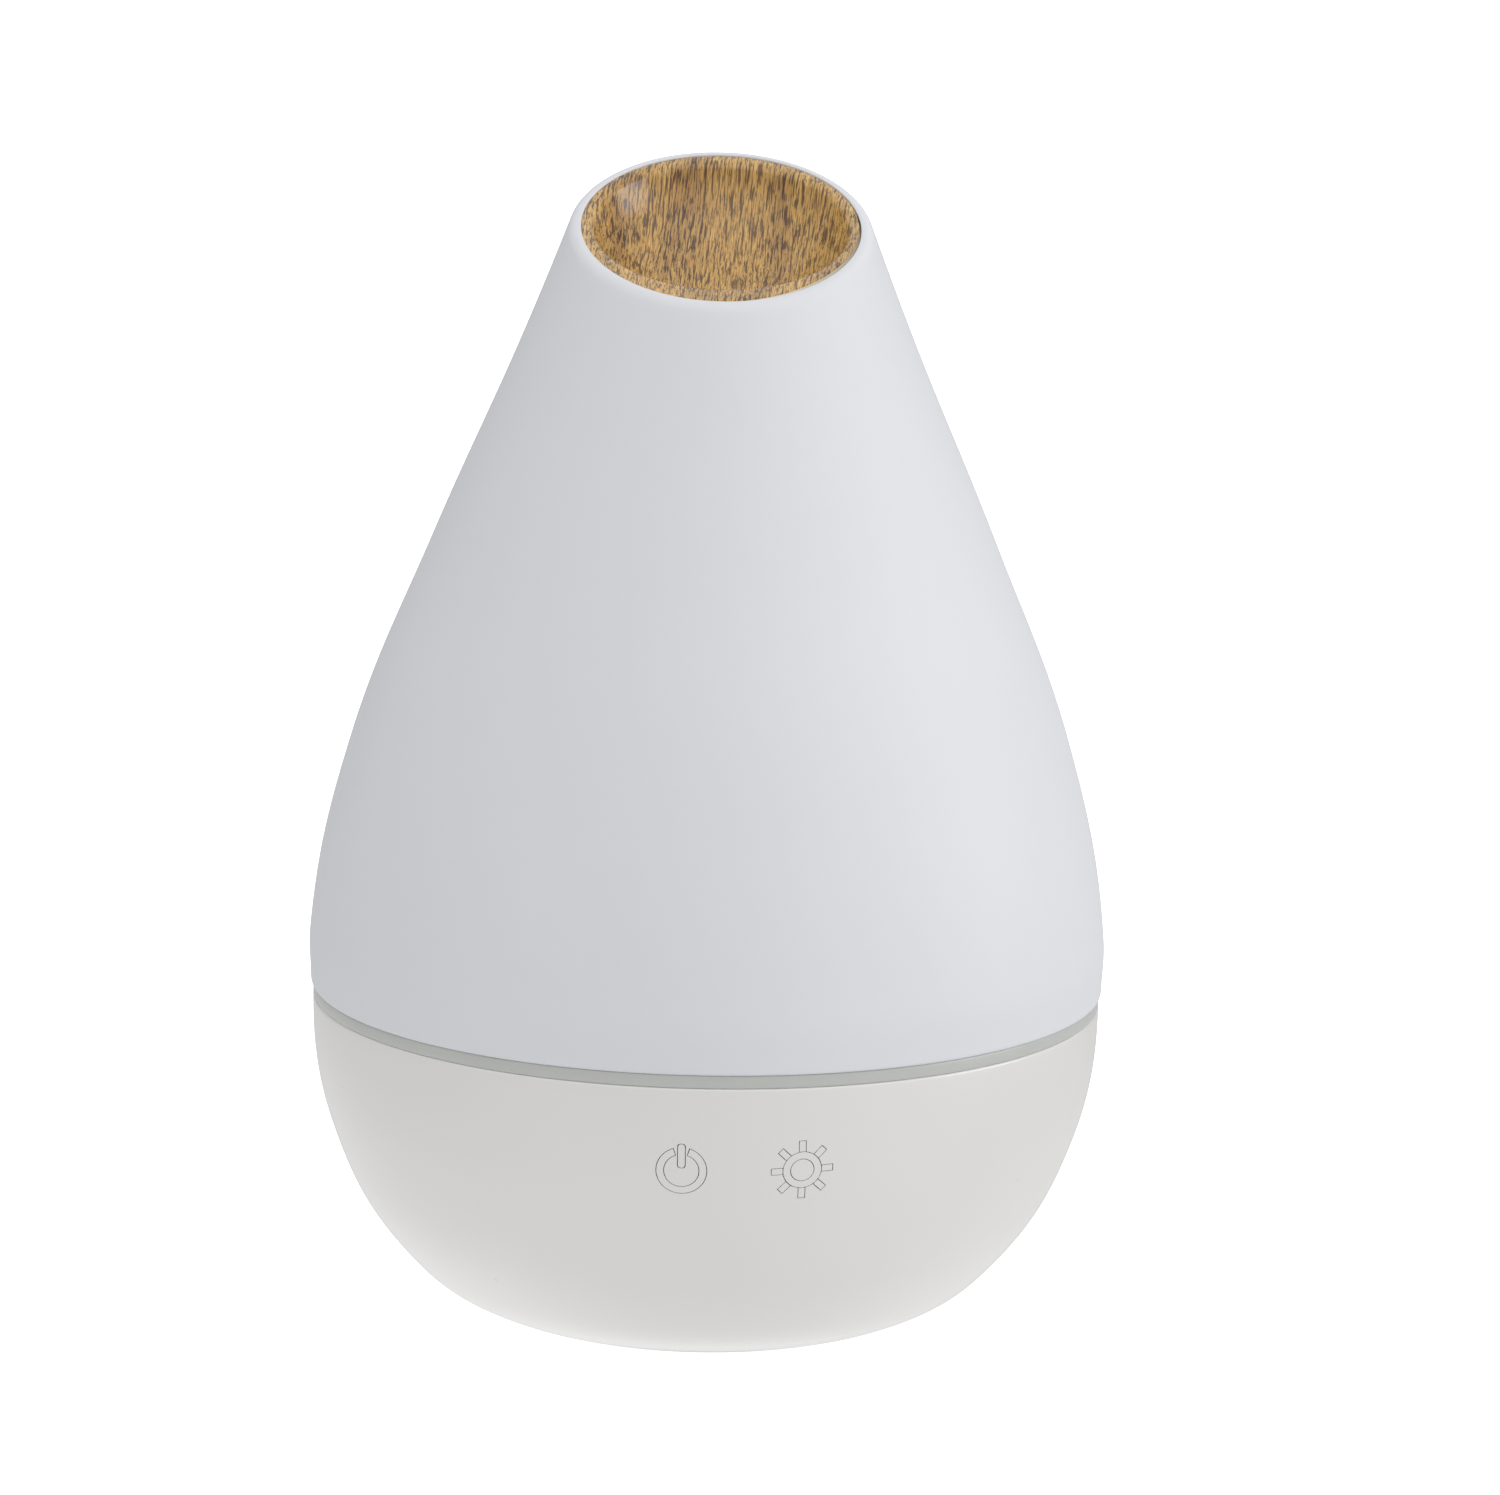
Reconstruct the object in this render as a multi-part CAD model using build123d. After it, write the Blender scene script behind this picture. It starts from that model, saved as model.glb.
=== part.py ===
from build123d import *
import math
import os

# Ultrasonic essential-oil diffuser: a teardrop cover that lifts off a bowl-shaped base.
# Frame: +Z up, origin on the ground under the centre of the body, front (touch icons) towards -Y.
# The feet stand on z = 0. Every piece is its own solid in its own node. Units: millimetres, degrees.

# ---- overall form ----------------------------------------------------------------------------
body_radius = 60.0  # widest radius, just above the seam
seam_step = 0.15  # the cover is this much narrower at its bottom edge
foot_lift = 1.0  # the rubber feet hold the bowl this far off the ground
foot_radius = 35.0  # the bowl's flat underside
base_height = 46.2  # bowl, from its underside to its top edge
band_height = 2.0  # edge of the tank's flange that shows between bowl and cover
cover_height = 116.3  # from the seam to where the slanted mouth crosses the axis
mouth_radius = 22.0  # outer radius of the cover at that crossing
mouth_tilt = 21.7  # slant of the mouth, low at the front
cover_turn = -4.5  # the loose cover stands turned this much from the icons
rim_step = 0.35  # bowl and band stand in from the cover by this much

# Outline of the bowl between foot and top edge: (share of the radius gained, share of the height).
bowl_outline = [(0.0, 0.0), (0.44, 0.168), (0.878, 0.576), (1.0, 1.0)]
bowl_foot_slope = (1.0, 0.42)
# Outline of the cover between widest place and mouth: (share of the radius kept, share of the height).
cover_outline = [(1.0, 0.072), (0.85, 0.315), (0.529, 0.585), (0.174, 0.855), (-0.152, 1.13)]

# ---- walls and clearances --------------------------------------------------------------------
cover_wall = 1.5
base_wall = 2.2
tank_wall = 1.8
tank_gap = 1.2  # air between bowl and tank
edge_round = 0.35  # rounding of the seam edges
slip = 0.05  # radial clearance of a screw in its pilot or a tube on its neck
loose = 0.2  # clearance of a piece that drops into place
lift_gap = 0.4  # clearance of the cover round the tank's spigot

# ---- mouth and wooden dish -------------------------------------------------------------------
rim_round = 0.9
dish_drop = 0.25  # the dish lies this far under the rim
dish_gap = 0.2  # gap between dish and cover
dish_radius = 19.2  # bowl of the dish, in the plane of the mouth
dish_depth = 13.0
dish_back = -2.4  # the bowl's centre along the slope, seen from the axis
dish_wall = 1.6
dish_lip = 1.5
skirt_depth = 6.0
ledge_width = 1.4
ledge_thick = 1.5
outlet_radius = 6.0
neck_wall = 1.4
neck_length = 7.0
duct_wall = 1.3
duct_length = 26.0
duct_overlap = 5.0
duct_flare = 3.0

# ---- water tank ------------------------------------------------------------------------------
tank_floor = 26.0  # top of the tank's floor
tank_fillet = 6.0
spigot_height = 6.0
spigot_wall = 1.8
gasket_height = 1.8
tower_y = 21.0  # air tower, behind the centre
tower_bore = 6.6
tower_wall = 1.6
tower_top = 58.0
tower_foot = 1.0  # the tower stands this far out under the floor
cap_wall = 1.0
cap_round = 0.8
cap_height = 9.0
cap_overlap = 4.0
cap_window = (7.0, 3.6)  # width and height of each air window
window_count = 3
window_lift = 0.3  # the windows start this far over the tower's end

# ---- transducer ------------------------------------------------------------------------------
disc_clear = 1.2  # between the transducer's clamp and the fan's hood
disc_radius = 10.0
disc_thick = 0.8
disc_face = 8.0  # free radius of the disc
seal_wall = 1.2
seal_height = 4.4
pocket_wall = 2.0
clamp_thick = 1.5
clamp_hole = 7.0
clamp_post_radius = 2.4
clamp_screw_count = 3
clamp_screw_start = 30.0
clamp_ear = 0.4  # the clamp's ears stand this much round the posts
clamp_pilot_roof = 0.4
disc_flare = 1.0  # the water side of the disc's hole opens by this much
seal_lip = 0.2

# ---- screws: head radius, head height, shank radius, shank length -----------------------------
clamp_screw = (2.1, 1.4, 1.1, 5.0)
bottom_screw = (2.6, 1.3, 1.2, 12.0)
board_screw = (2.0, 1.2, 0.9, 5.2)
fan_screw = (2.1, 1.4, 1.2, 12.8)
head_bevel = 0.35  # shares of the head's height and radius
recess_deep = 0.45
recess_long = 1.2
recess_wide = 0.3

# ---- base internals --------------------------------------------------------------------------
plate_thick = 2.2
plate_step = 1.2  # thickness of the plate's outer lip
plate_margin = 1.5  # ring of the bowl's underside left round the plate
plate_lap = 3.0
post_x, post_y = 22.5, 15.0
post_radius = 3.2
foot_pad_radius = 4.5
foot_recess = 0.6
plate_boss_top = 5.2
plate_boss_radius = 4.4
screw_seat = 1.8  # plastic under a bottom screw's head
foot_bevel = 0.4
board_size = (33.0, 27.5)
board_y = -17.25
board_low = 7.5
board_thick = 1.6
standoff_radius = 2.2
board_screw_x = 12.4
board_screw_y = (-25.2, -6.4)

fan_gap = 2.5  # between the driver board and the fan
fan_size = 30.0
fan_depth = 10.0
fan_low = 5.0
fan_bore = 14.2
fan_hole_pitch = 24.0
fan_hole = 1.7
fan_corner = 3.0
fan_boss_radius = 3.0
fan_boss_pilot = 1.0
fan_hub = 8.0
fan_floor = 1.2  # thickness of the hub plate and the struts
fan_struts = 3
strut_width = 2.2
boss_wall = 0.8
boss_drop = 3.5  # the bearing boss ends this far under the frame's top
stator_lift = 1.0
stator_drop = 4.0
stator_core = 1.2
stator_poles = 4
pole_size = (2.0, 2.4)
shoe_size = (5.0, 1.0)
shoe_radius = 5.6
rotor_lift = 0.6
rotor_drop = 0.8
cup_wall = 1.0
cup_round = 0.6
blade_size = (0.9, 9.0)
magnet_wall = 1.0
shaft_seat = 0.8
fan_blades = 7
blade_angle = 38.0
blade_tip_gap = 0.6
shaft_radius = 1.0
bush_radius = 2.0
hood_lip = 0.4  # the hood's drum is this much wider than the fan's bore
hood_wall = 1.0
hood_height = 5.6
hood_flange = 1.2
hood_clear = 0.4  # the hood's tube stands this far inside the tower
grille_radius = 12.6
grille_slot = 1.8
grille_pitch = 3.4

light_clear = 1.1  # from the clamp's ears to the ring
light_width = 5.0
light_low = 20.8
light_thick = 1.2
light_count = 6
light_post = 1.6
light_post_count = 3
lamp_size = (3.0, 1.0)
lamp_dimple = (1.1, 0.3)

# ---- parts on the driver board: places are (x, y) ------------------------------------------------
board_corner = 1.5
board_hole = 1.2
coil_place = (-4.5, -13.5)
coil_radius = 4.5
coil_height = 6.4
coil_flange = 1.0
coil_groove = 2.0
wire_inset = 0.3
cans = [(-6.6, -26.4, 2.6, 6.8), (7.0, -25.5, 3.1, 7.0)]  # x, y, radius, height
can_round = 0.4
can_groove = (1.0, 1.6, 0.2)  # low, high, depth
transistor_place = (6.0, -13.0)
transistor_size = (6.6, 6.2, 2.3)
sink_size = (8.5, 9.0, 4.2)
sink_slot = 1.2
sink_pitch = 2.4
sink_floor = 1.2
chip_place = (0.5, -6.7)
chip_size = (4.0, 5.0, 1.5)
chip_lift = 0.2
leg_size = (6.4, 0.5, 0.5)
leg_pitch = 1.4
socket_high = 5.0
socket_bevel = 0.4
sockets = {
    "jack": (13.9, -12.6, 4.2, 5.4),
    "fan": (-13.9, -12.6, 4.2, 5.4),
    "transducer": (0.0, -21.6, 6.0, 4.4),
    "light": (-13.9, -19.4, 4.2, 5.0),
}
ribbon_size = (7.0, 3.6, 1.6)
ribbon_inset = 2.2

# ---- touch foil --------------------------------------------------------------------------------
foil_thick = 0.4
foil_half_angle = 15.0
foil_half_height = 5.5
tail_half_width = 3.0
tail_lift = 0.6
tail_clear = 0.6
tail_lap = 0.4
tail_reach = 5.0

jack_z = 14.5
jack_well = 5.2
jack_well_wall = 1.8
jack_face_y = 41.0
jack_size = (9.0, 7.5, 9.0)
jack_bore = 3.0
jack_pin = 1.05
jack_bore_depth = 6.5
jack_bevel = 0.6
pin_short = 0.8
tab_size = (0.6, 3.0, 2.8)
tab_x = 2.2
cable_radius = 0.8
cable_bend = 2.0
socket_entry = 2.6  # height over the board at which a cable enters its socket's side

# ---- touch icons -----------------------------------------------------------------------------
icon_z = 34.8
icon_angle = 8.6  # each icon's turn from the front
icon_depth = 1.1
icon_gap = 0.12
icon_sunk = 0.05
stroke = 1.0
power_ring = 3.6
power_opening = 20.0  # half the opening of the ring, in degrees
power_bar = (0.5, 4.1)
sun_ring = 2.8
sun_reach = 4.5
sun_rays = 8
sun_turn = 2.5
ray_width = 0.9

# ---- worked out from the sizes above -----------------------------------------------------------
seam_radius = body_radius - seam_step
plate_radius = foot_radius - plate_margin
hood_tube = tower_bore - hood_clear - hood_wall
fan_y = board_y + board_size[1] / 2 + fan_gap + fan_size / 2
disc_y = fan_y - fan_bore - hood_lip - disc_clear - disc_radius - seal_wall - pocket_wall
clamp_ring = disc_radius + seal_wall + pocket_wall + clamp_post_radius
light_inner = clamp_ring - disc_y + clamp_post_radius + clamp_ear + light_clear
light_ring = (light_inner, light_inner + light_width)
bowl_low = foot_lift
bowl_top = bowl_low + base_height
seam_z = bowl_top + band_height
mouth_z = seam_z + cover_height
base_radius = seam_radius - rim_step
base_inner = base_radius - base_wall
tank_outer = base_inner - tank_gap
tank_under = tank_floor - tank_wall
spigot_radius = seam_radius - cover_wall - lift_gap
board_top = board_low + board_thick
fan_top = fan_low + fan_depth
plate_top = bowl_low + plate_thick
fan_rim = fan_size / 2
mouth_plane = Plane(
    origin=(0, 0, mouth_z),
    x_dir=(1, 0, 0),
    z_dir=(0, -math.sin(math.radians(mouth_tilt)), math.cos(math.radians(mouth_tilt))),
)
UP = (Align.CENTER, Align.CENTER, Align.MIN)
BIG = 4 * (body_radius + cover_height)


# ---- helpers -----------------------------------------------------------------------------------
def rod(radius, low, high, x=0.0, y=0.0):
    """Upright cylinder between two heights."""
    return Pos(x, y, low) * Cylinder(radius, high - low, align=UP)


def tube(outer, inner, low, high, x=0.0, y=0.0):
    """Upright tube between two heights."""
    return rod(outer, low, high, x, y) - rod(inner, low, high, x, y)


def block(width, depth, low, high, x=0.0, y=0.0):
    """Upright box between two heights."""
    return Pos(x, y, low) * Box(width, depth, high - low, align=UP)


def slab(low, high):
    """Everything between two heights."""
    return block(BIG, BIG, low, high)


def mouth_slab(deep, shallow):
    """Everything between two depths under the slanted mouth."""
    return mouth_plane * Pos(0, 0, -deep) * Box(BIG, BIG, deep - shallow, align=UP)


def corners(x, y):
    """The four mirrored places of (x, y)."""
    return [(sx * x, sy * y) for sx in (-1, 1) for sy in (-1, 1)]


def joined(pieces):
    """Separate solids of one node."""
    return Compound(children=[s for p in pieces for s in p.solids()])


def screw(size):
    """Pan-head screw with a cross recess, head up, shank along -Z from the origin."""
    head_radius, head_high, shank_radius, shank_long = size
    head = rod(head_radius, 0, head_high)
    head = chamfer(head.edges().group_by(Axis.Z)[-1], head_high * head_bevel)
    cross = Box(head_radius * recess_long, head_radius * recess_wide, 2 * head_high * recess_deep)
    recess = Pos(0, 0, head_high) * (cross + Rot(0, 0, 90) * cross)
    return head - recess + rod(shank_radius, -shank_long, 0)


def bowl_edge():
    """Outer line of the bowl, from the foot to the top edge."""
    points = [
        (foot_radius + (base_radius - foot_radius) * r, 0, bowl_low + base_height * h)
        for r, h in bowl_outline
    ]
    slope = (bowl_foot_slope[0], 0, bowl_foot_slope[1])
    return Spline(*points, tangents=[slope, (0, 0, 1)])


def cover_edge():
    """Outer line of the cover, from the seam to above the mouth."""
    points = [
        (mouth_radius + (body_radius - mouth_radius) * r, 0, seam_z + cover_height * h)
        for r, h in cover_outline
    ]
    return Spline((seam_radius, 0, seam_z), *points)


def inset(edge, distance, count=12):
    """The same line, moved inwards by a wall's thickness."""
    points = []
    for i in range(count + 1):
        at, along = edge.position_at(i / count), edge.tangent_at(i / count)
        points.append((at.X - distance * along.Z, 0, at.Z + distance * along.X))
    return Spline(*points)


def turned(edge, distance=0.0):
    """Solid inside a line that is spun round the axis."""
    line = edge if distance == 0 else inset(edge, distance)
    start, end = line.position_at(0), line.position_at(1)
    rest = [(end.X, 0, end.Z), (0, 0, end.Z), (0, 0, start.Z), (start.X, 0, start.Z)]
    if distance > 0:
        low = start.Z - distance
        rest[2:3] = [(0, 0, low), (start.X, 0, low)]
    return revolve(Face(Wire([line] + list(Polyline(*rest).edges()))), Axis.Z)


def bowl_core(distance, low, high):
    """The bowl's outer shape, moved inwards, between two heights."""
    return turned(bowl_edge(), distance) & slab(low, high)


def cover_core(distance):
    """The cover's outer shape, moved inwards."""
    return turned(cover_edge(), distance)


def radius_at(edge, height):
    """Radius of an outline at a height."""
    low, high = 0.0, 1.0
    for _ in range(40):
        middle = (low + high) / 2
        if edge.position_at(middle).Z < height:
            low = middle
        else:
            high = middle
    return edge.position_at(low).X


def cable(points, radius=cable_radius, bend=cable_bend):
    """Round cable along straight runs joined by arcs."""
    path = FilletPolyline(*points, radius=bend)
    start = Plane(origin=path.position_at(0), z_dir=path.tangent_at(0))
    return sweep(start * Circle(radius), path=path)


# ---- cover ---------------------------------------------------------------------------------------
def mouth_depth(point):
    """Height of a point over the plane of the mouth."""
    return mouth_plane.to_local_coords(point).Z


def upper_cover():
    """Frosted teardrop shell with a slanted mouth and an inner ledge for the dish."""
    below_mouth = mouth_slab(BIG / 2, 0)
    shell = (cover_core(0) - cover_core(cover_wall)) & below_mouth
    rim = [e for e in shell.edges() if all(abs(mouth_depth(e @ t)) < 0.01 for t in (0, 0.3, 0.6))]
    shell = fillet(max(rim, key=lambda e: e.length), rim_round)
    seam = shell.edges().group_by(Axis.Z)[0].sort_by(SortBy.LENGTH)[-1]
    shell = fillet(seam, edge_round)
    ledge = cover_core(cover_wall) - cover_core(cover_wall + ledge_width)
    ledge_top = dish_drop + skirt_depth
    return shell + (ledge & mouth_slab(ledge_top + ledge_thick, ledge_top))


def dish_sphere():
    """Radius of the dish's bowl, and its centre."""
    radius = (dish_radius**2 + dish_depth**2) / (2 * dish_depth)
    centre = mouth_plane.from_local_coords((0, dish_back, radius - dish_depth - dish_drop))
    return radius, centre


def outlet_place():
    """Lowest point of the dish's bowl, where the outlet is."""
    radius, centre = dish_sphere()
    return centre.Y, centre.Z - radius


def dish_hollow():
    """Bowl of the dish with its rolled lip, spun round the bowl's own axis."""
    radius, _ = dish_sphere()
    centre_z = radius - dish_depth
    lip_r = math.sqrt((radius + dish_lip) ** 2 - (dish_lip + centre_z) ** 2)
    share = radius / (radius + dish_lip)
    meet = (lip_r * share, centre_z - (dish_lip + centre_z) * share)
    half = math.atan2(meet[0], centre_z - meet[1]) / 2
    belly = (radius * math.sin(half), centre_z - radius * math.cos(half))
    over = (lip_r - dish_lip * math.sin(half), dish_lip * (math.cos(half) - 1))
    line = [
        ThreePointArc((0, 0, -dish_depth), (belly[0], 0, belly[1]), (meet[0], 0, meet[1])),
        ThreePointArc((meet[0], 0, meet[1]), (over[0], 0, over[1]), (lip_r, 0, 0)),
        Line((lip_r, 0, 0), (lip_r, 0, dish_depth)),
        Line((lip_r, 0, dish_depth), (0, 0, dish_depth)),
        Line((0, 0, dish_depth), (0, 0, -dish_depth)),
    ]
    return mouth_plane * Pos(0, dish_back, -dish_drop) * revolve(Face(Wire(line)), Axis.Z)


def wood_dish():
    """Slanted dish with a rolled lip, a skirt that stands on the ledge, and an outlet neck."""
    radius, centre = dish_sphere()
    outlet_y, low = outlet_place()
    place = Pos(centre.X, centre.Y, centre.Z)
    hollow = dish_hollow()
    skin = cover_core(cover_wall + dish_gap)
    flange = skin & mouth_slab(dish_drop + dish_wall, dish_drop)
    skirt = skin - cover_core(cover_wall + dish_gap + ledge_width)
    skirt = skirt & mouth_slab(dish_drop + skirt_depth, dish_drop)
    bowl = place * Sphere(radius + dish_wall) & mouth_slab(BIG / 4, dish_drop)
    neck = rod(outlet_radius + neck_wall, low - neck_length, low + dish_wall, 0, outlet_y)
    dish = flange + skirt + (bowl & skin) + neck - hollow
    return dish - rod(outlet_radius, low - 2 * neck_length, mouth_z, 0, outlet_y)


def mist_duct():
    """Tube on the dish's neck that guides the mist up, flared at its lower end."""
    outlet_y, low = outlet_place()
    inner = outlet_radius + neck_wall + slip
    outer = inner + duct_wall
    top = low - neck_length + duct_overlap
    bottom = top - duct_length
    flare_top = bottom + 2 * duct_flare
    middle = (flare_top + bottom) / 2
    shape = tube(outer, inner, flare_top, top, 0, outlet_y)
    outside = Pos(0, outlet_y, middle) * Cone(outer + duct_flare, outer, flare_top - bottom)
    inside = Pos(0, outlet_y, middle) * Cone(inner + duct_flare, inner, flare_top - bottom)
    return shape + (outside - inside)


# ---- bowl and tank ---------------------------------------------------------------------------------
def power_shape(grow):
    """Ring with an opening and a bar, as a flat sketch; grow widens the strokes."""
    half = stroke / 2 + grow
    middle = power_ring - stroke / 2
    ring = Circle(middle + half) - Circle(middle - half)
    reach = 2 * power_ring
    trim = math.radians(power_opening) - grow / middle
    wedge = make_face(
        Polyline((0, 0), (-reach * math.tan(trim), reach), (reach * math.tan(trim), reach), (0, 0))
    )
    low, high = power_bar
    bar = Pos(0, (low + high) / 2) * RectangleRounded(
        stroke + 2 * grow, high - low + 2 * grow, stroke / 2 + grow - 0.01
    )
    return (ring - wedge) + bar


def sun_shape(grow):
    """Ring and eight short rays that stand off it, as a flat sketch; grow widens the strokes."""
    inner = sun_ring - stroke - grow
    ray_start = sun_ring + icon_gap - grow
    ray_long = sun_reach + grow - ray_start
    shape = Circle(sun_ring + grow) - Circle(inner)
    ray = Pos(0, ray_start + ray_long / 2) * Rectangle(ray_width + 2 * grow, ray_long)
    for i in range(sun_rays):
        shape += Rot(0, 0, sun_turn + 360 / sun_rays * i) * ray
    return shape


def icon_prism(shape, angle):
    """An icon's sketch, pushed into the bowl's wall square to its surface."""
    edge = bowl_edge()
    above, under = radius_at(edge, icon_z + 2), radius_at(edge, icon_z - 2)
    lean = math.atan2(above - under, 4)
    radius = radius_at(edge, icon_z)
    turn = math.radians(angle)
    out = (
        math.sin(turn) * math.cos(lean),
        -math.cos(turn) * math.cos(lean),
        -math.sin(lean),
    )
    origin = (radius * math.sin(turn), -radius * math.cos(turn), icon_z)
    side = (math.cos(turn), math.sin(turn), 0)
    face = Plane(origin=origin, x_dir=side, z_dir=out)
    return extrude(face * Pos(0, 0, -4) * shape, 8)


def icon_skin(shallow, deep):
    """Layer of the bowl's wall between two depths."""
    return bowl_core(shallow, bowl_low, bowl_top) - bowl_core(deep, bowl_low, bowl_top)


def touch_icon(make_shape, angle):
    """Translucent inlay in the shape of an icon."""
    return icon_prism(make_shape(0), angle) & icon_skin(icon_sunk, icon_depth)


def jack_tube(radius, start, length):
    """Round rod along +Y at the jack's height."""
    return Pos(0, start, jack_z) * Rot(-90, 0, 0) * Cylinder(radius, length, align=UP)


def base_shell():
    """Glossy bowl with a rebate for the bottom plate, icon pockets and the plug well."""
    floor = bowl_low + base_wall
    outer = bowl_core(0, bowl_low, bowl_top)
    outer = fillet(outer.edges().group_by(Axis.Z)[-1], edge_round)
    shell = outer - bowl_core(base_wall, floor, bowl_top + 1)
    shell -= rod(plate_radius, 0, bowl_low + plate_step)
    shell -= rod(plate_radius - plate_lap, 0, floor + 1)
    well = jack_tube(jack_well + jack_well_wall, jack_face_y, body_radius)
    shell += well & outer
    shell -= jack_tube(jack_well, jack_face_y, body_radius)
    for make_shape, angle in ((power_shape, -icon_angle), (sun_shape, icon_angle)):
        outside = turned(bowl_edge(), -1) - bowl_core(icon_depth, bowl_low, bowl_top)
        shell -= icon_prism(make_shape(icon_gap), angle) & outside
    return shell


def clamp_screw_places():
    """Places of the clamp's screws round the transducer."""
    for i in range(clamp_screw_count):
        turn = math.radians(clamp_screw_start + 360 / clamp_screw_count * i)
        yield clamp_ring * math.cos(turn), disc_y + clamp_ring * math.sin(turn)


def light_places(count, start=0.0):
    """Places on the middle of the light ring."""
    ring = sum(light_ring) / 2
    for i in range(count):
        turn = math.radians(start + 360 / count * i)
        yield ring * math.cos(turn), ring * math.sin(turn)


def water_tank():
    """Translucent tank: flange, spigot for the cover, and the posts under its floor."""
    outside = bowl_core(base_wall + tank_gap, tank_under, bowl_top)
    outside = fillet(outside.edges().group_by(Axis.Z)[0], tank_fillet)
    inside = bowl_core(base_wall + tank_gap + tank_wall, tank_floor, bowl_top)
    inside = fillet(inside.edges().group_by(Axis.Z)[0], tank_fillet - tank_wall)
    flange = tube(base_radius, tank_outer - tank_wall, bowl_top, seam_z)
    flange = fillet(
        [e for e in flange.edges().filter_by(GeomType.CIRCLE) if e.radius > base_radius - 0.1],
        edge_round,
    )
    tank = outside - inside + flange
    tank += tube(spigot_radius, spigot_radius - spigot_wall, seam_z, seam_z + spigot_height)
    tank -= rod(tower_bore + tower_wall, 0, tank_floor + tank_fillet, 0, tower_y)
    seal = disc_radius + seal_wall + loose / 2
    pocket_low = tank_under - seal_height
    tank += tube(seal + pocket_wall, seal, pocket_low, tank_under, 0, disc_y)
    tank -= rod(disc_face, tank_under - 1, tank_floor, 0, disc_y)
    opening = Cone(disc_face, disc_face + disc_flare, disc_flare, align=UP)
    tank = tank - Pos(0, disc_y, tank_floor - disc_flare) * opening
    for x, y in clamp_screw_places():
        tank += rod(clamp_post_radius, pocket_low, tank_under, x, y)
    for x, y in clamp_screw_places():
        tank -= rod(clamp_screw[2] + slip, pocket_low, tank_under - clamp_pilot_roof, x, y)
    for x, y in corners(post_x, post_y):
        tank += tube(post_radius, bottom_screw[2] + slip, plate_boss_top, tank_under, x, y)
    for x, y in light_places(light_post_count):
        tank += rod(light_post, light_low + light_thick, tank_under, x, y)
    return tank


def air_tower():
    """Tube welded into the tank's floor that carries the fan's air above the water."""
    return tube(tower_bore + tower_wall, tower_bore, tank_under - tower_foot, tower_top, 0, tower_y)


def air_cap():
    """Splash cap on the air tower, with side windows for the air."""
    inner = tower_bore + tower_wall + slip
    outer = inner + cap_wall
    low = tower_top - cap_overlap
    top = low + cap_height
    cap = rod(outer, low, top, 0, tower_y) - rod(inner, low, top - cap_wall, 0, tower_y)
    cap = fillet(cap.edges().group_by(Axis.Z)[-1], cap_round)
    width, height = cap_window
    start = tower_top + window_lift
    for i in range(window_count):
        window = Pos(0, -outer, start) * Box(width, outer, height, align=UP)
        cap -= Pos(0, tower_y, 0) * Rot(0, 0, 360 / window_count * i) * window
    return cap


def tank_gasket():
    """Silicone ring that fills the gap between tank and bowl under the flange."""
    low = bowl_top - gasket_height
    return bowl_core(base_wall, low, bowl_top) - rod(tank_outer + slip, low, bowl_top)


# ---- transducer ---------------------------------------------------------------------------------------
def transducer_disc():
    """Ceramic disc that makes the mist."""
    middle = tank_under - seal_height / 2
    return rod(disc_radius, middle - disc_thick / 2, middle + disc_thick / 2, 0, disc_y)


def transducer_seal():
    """Silicone ring with a groove round the disc."""
    outer = disc_radius + seal_wall
    ring = tube(outer, disc_face + seal_lip, tank_under - seal_height, tank_under, 0, disc_y)
    return ring - transducer_disc()


def transducer_clamp():
    """Plate that presses the seal up against the tank's floor."""
    high = tank_under - seal_height
    low = high - clamp_thick
    clamp = rod(disc_radius + seal_wall + pocket_wall, low, high, 0, disc_y)
    for x, y in clamp_screw_places():
        clamp += rod(clamp_post_radius + clamp_ear, low, high, x, y)
    clamp -= rod(clamp_hole, low, high, 0, disc_y)
    for x, y in clamp_screw_places():
        clamp -= rod(clamp_screw[2] + 2 * slip, low, high, x, y)
    return clamp


def clamp_screws():
    """Three screws that hold the clamp."""
    low = tank_under - seal_height - clamp_thick
    driven = Rot(180, 0, 0) * screw(clamp_screw)
    return joined([Pos(x, y, low) * driven for x, y in clamp_screw_places()])


# ---- bottom plate, screws and feet --------------------------------------------------------------------
def board_screw_places():
    """Places of the driver board's four screws."""
    return [(x, y) for y in board_screw_y for x in (-board_screw_x, board_screw_x)]


def fan_hole_places():
    """Places of the fan's four corner holes."""
    return [(x, fan_y + y) for x, y in corners(fan_hole_pitch / 2, fan_hole_pitch / 2)]


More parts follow.
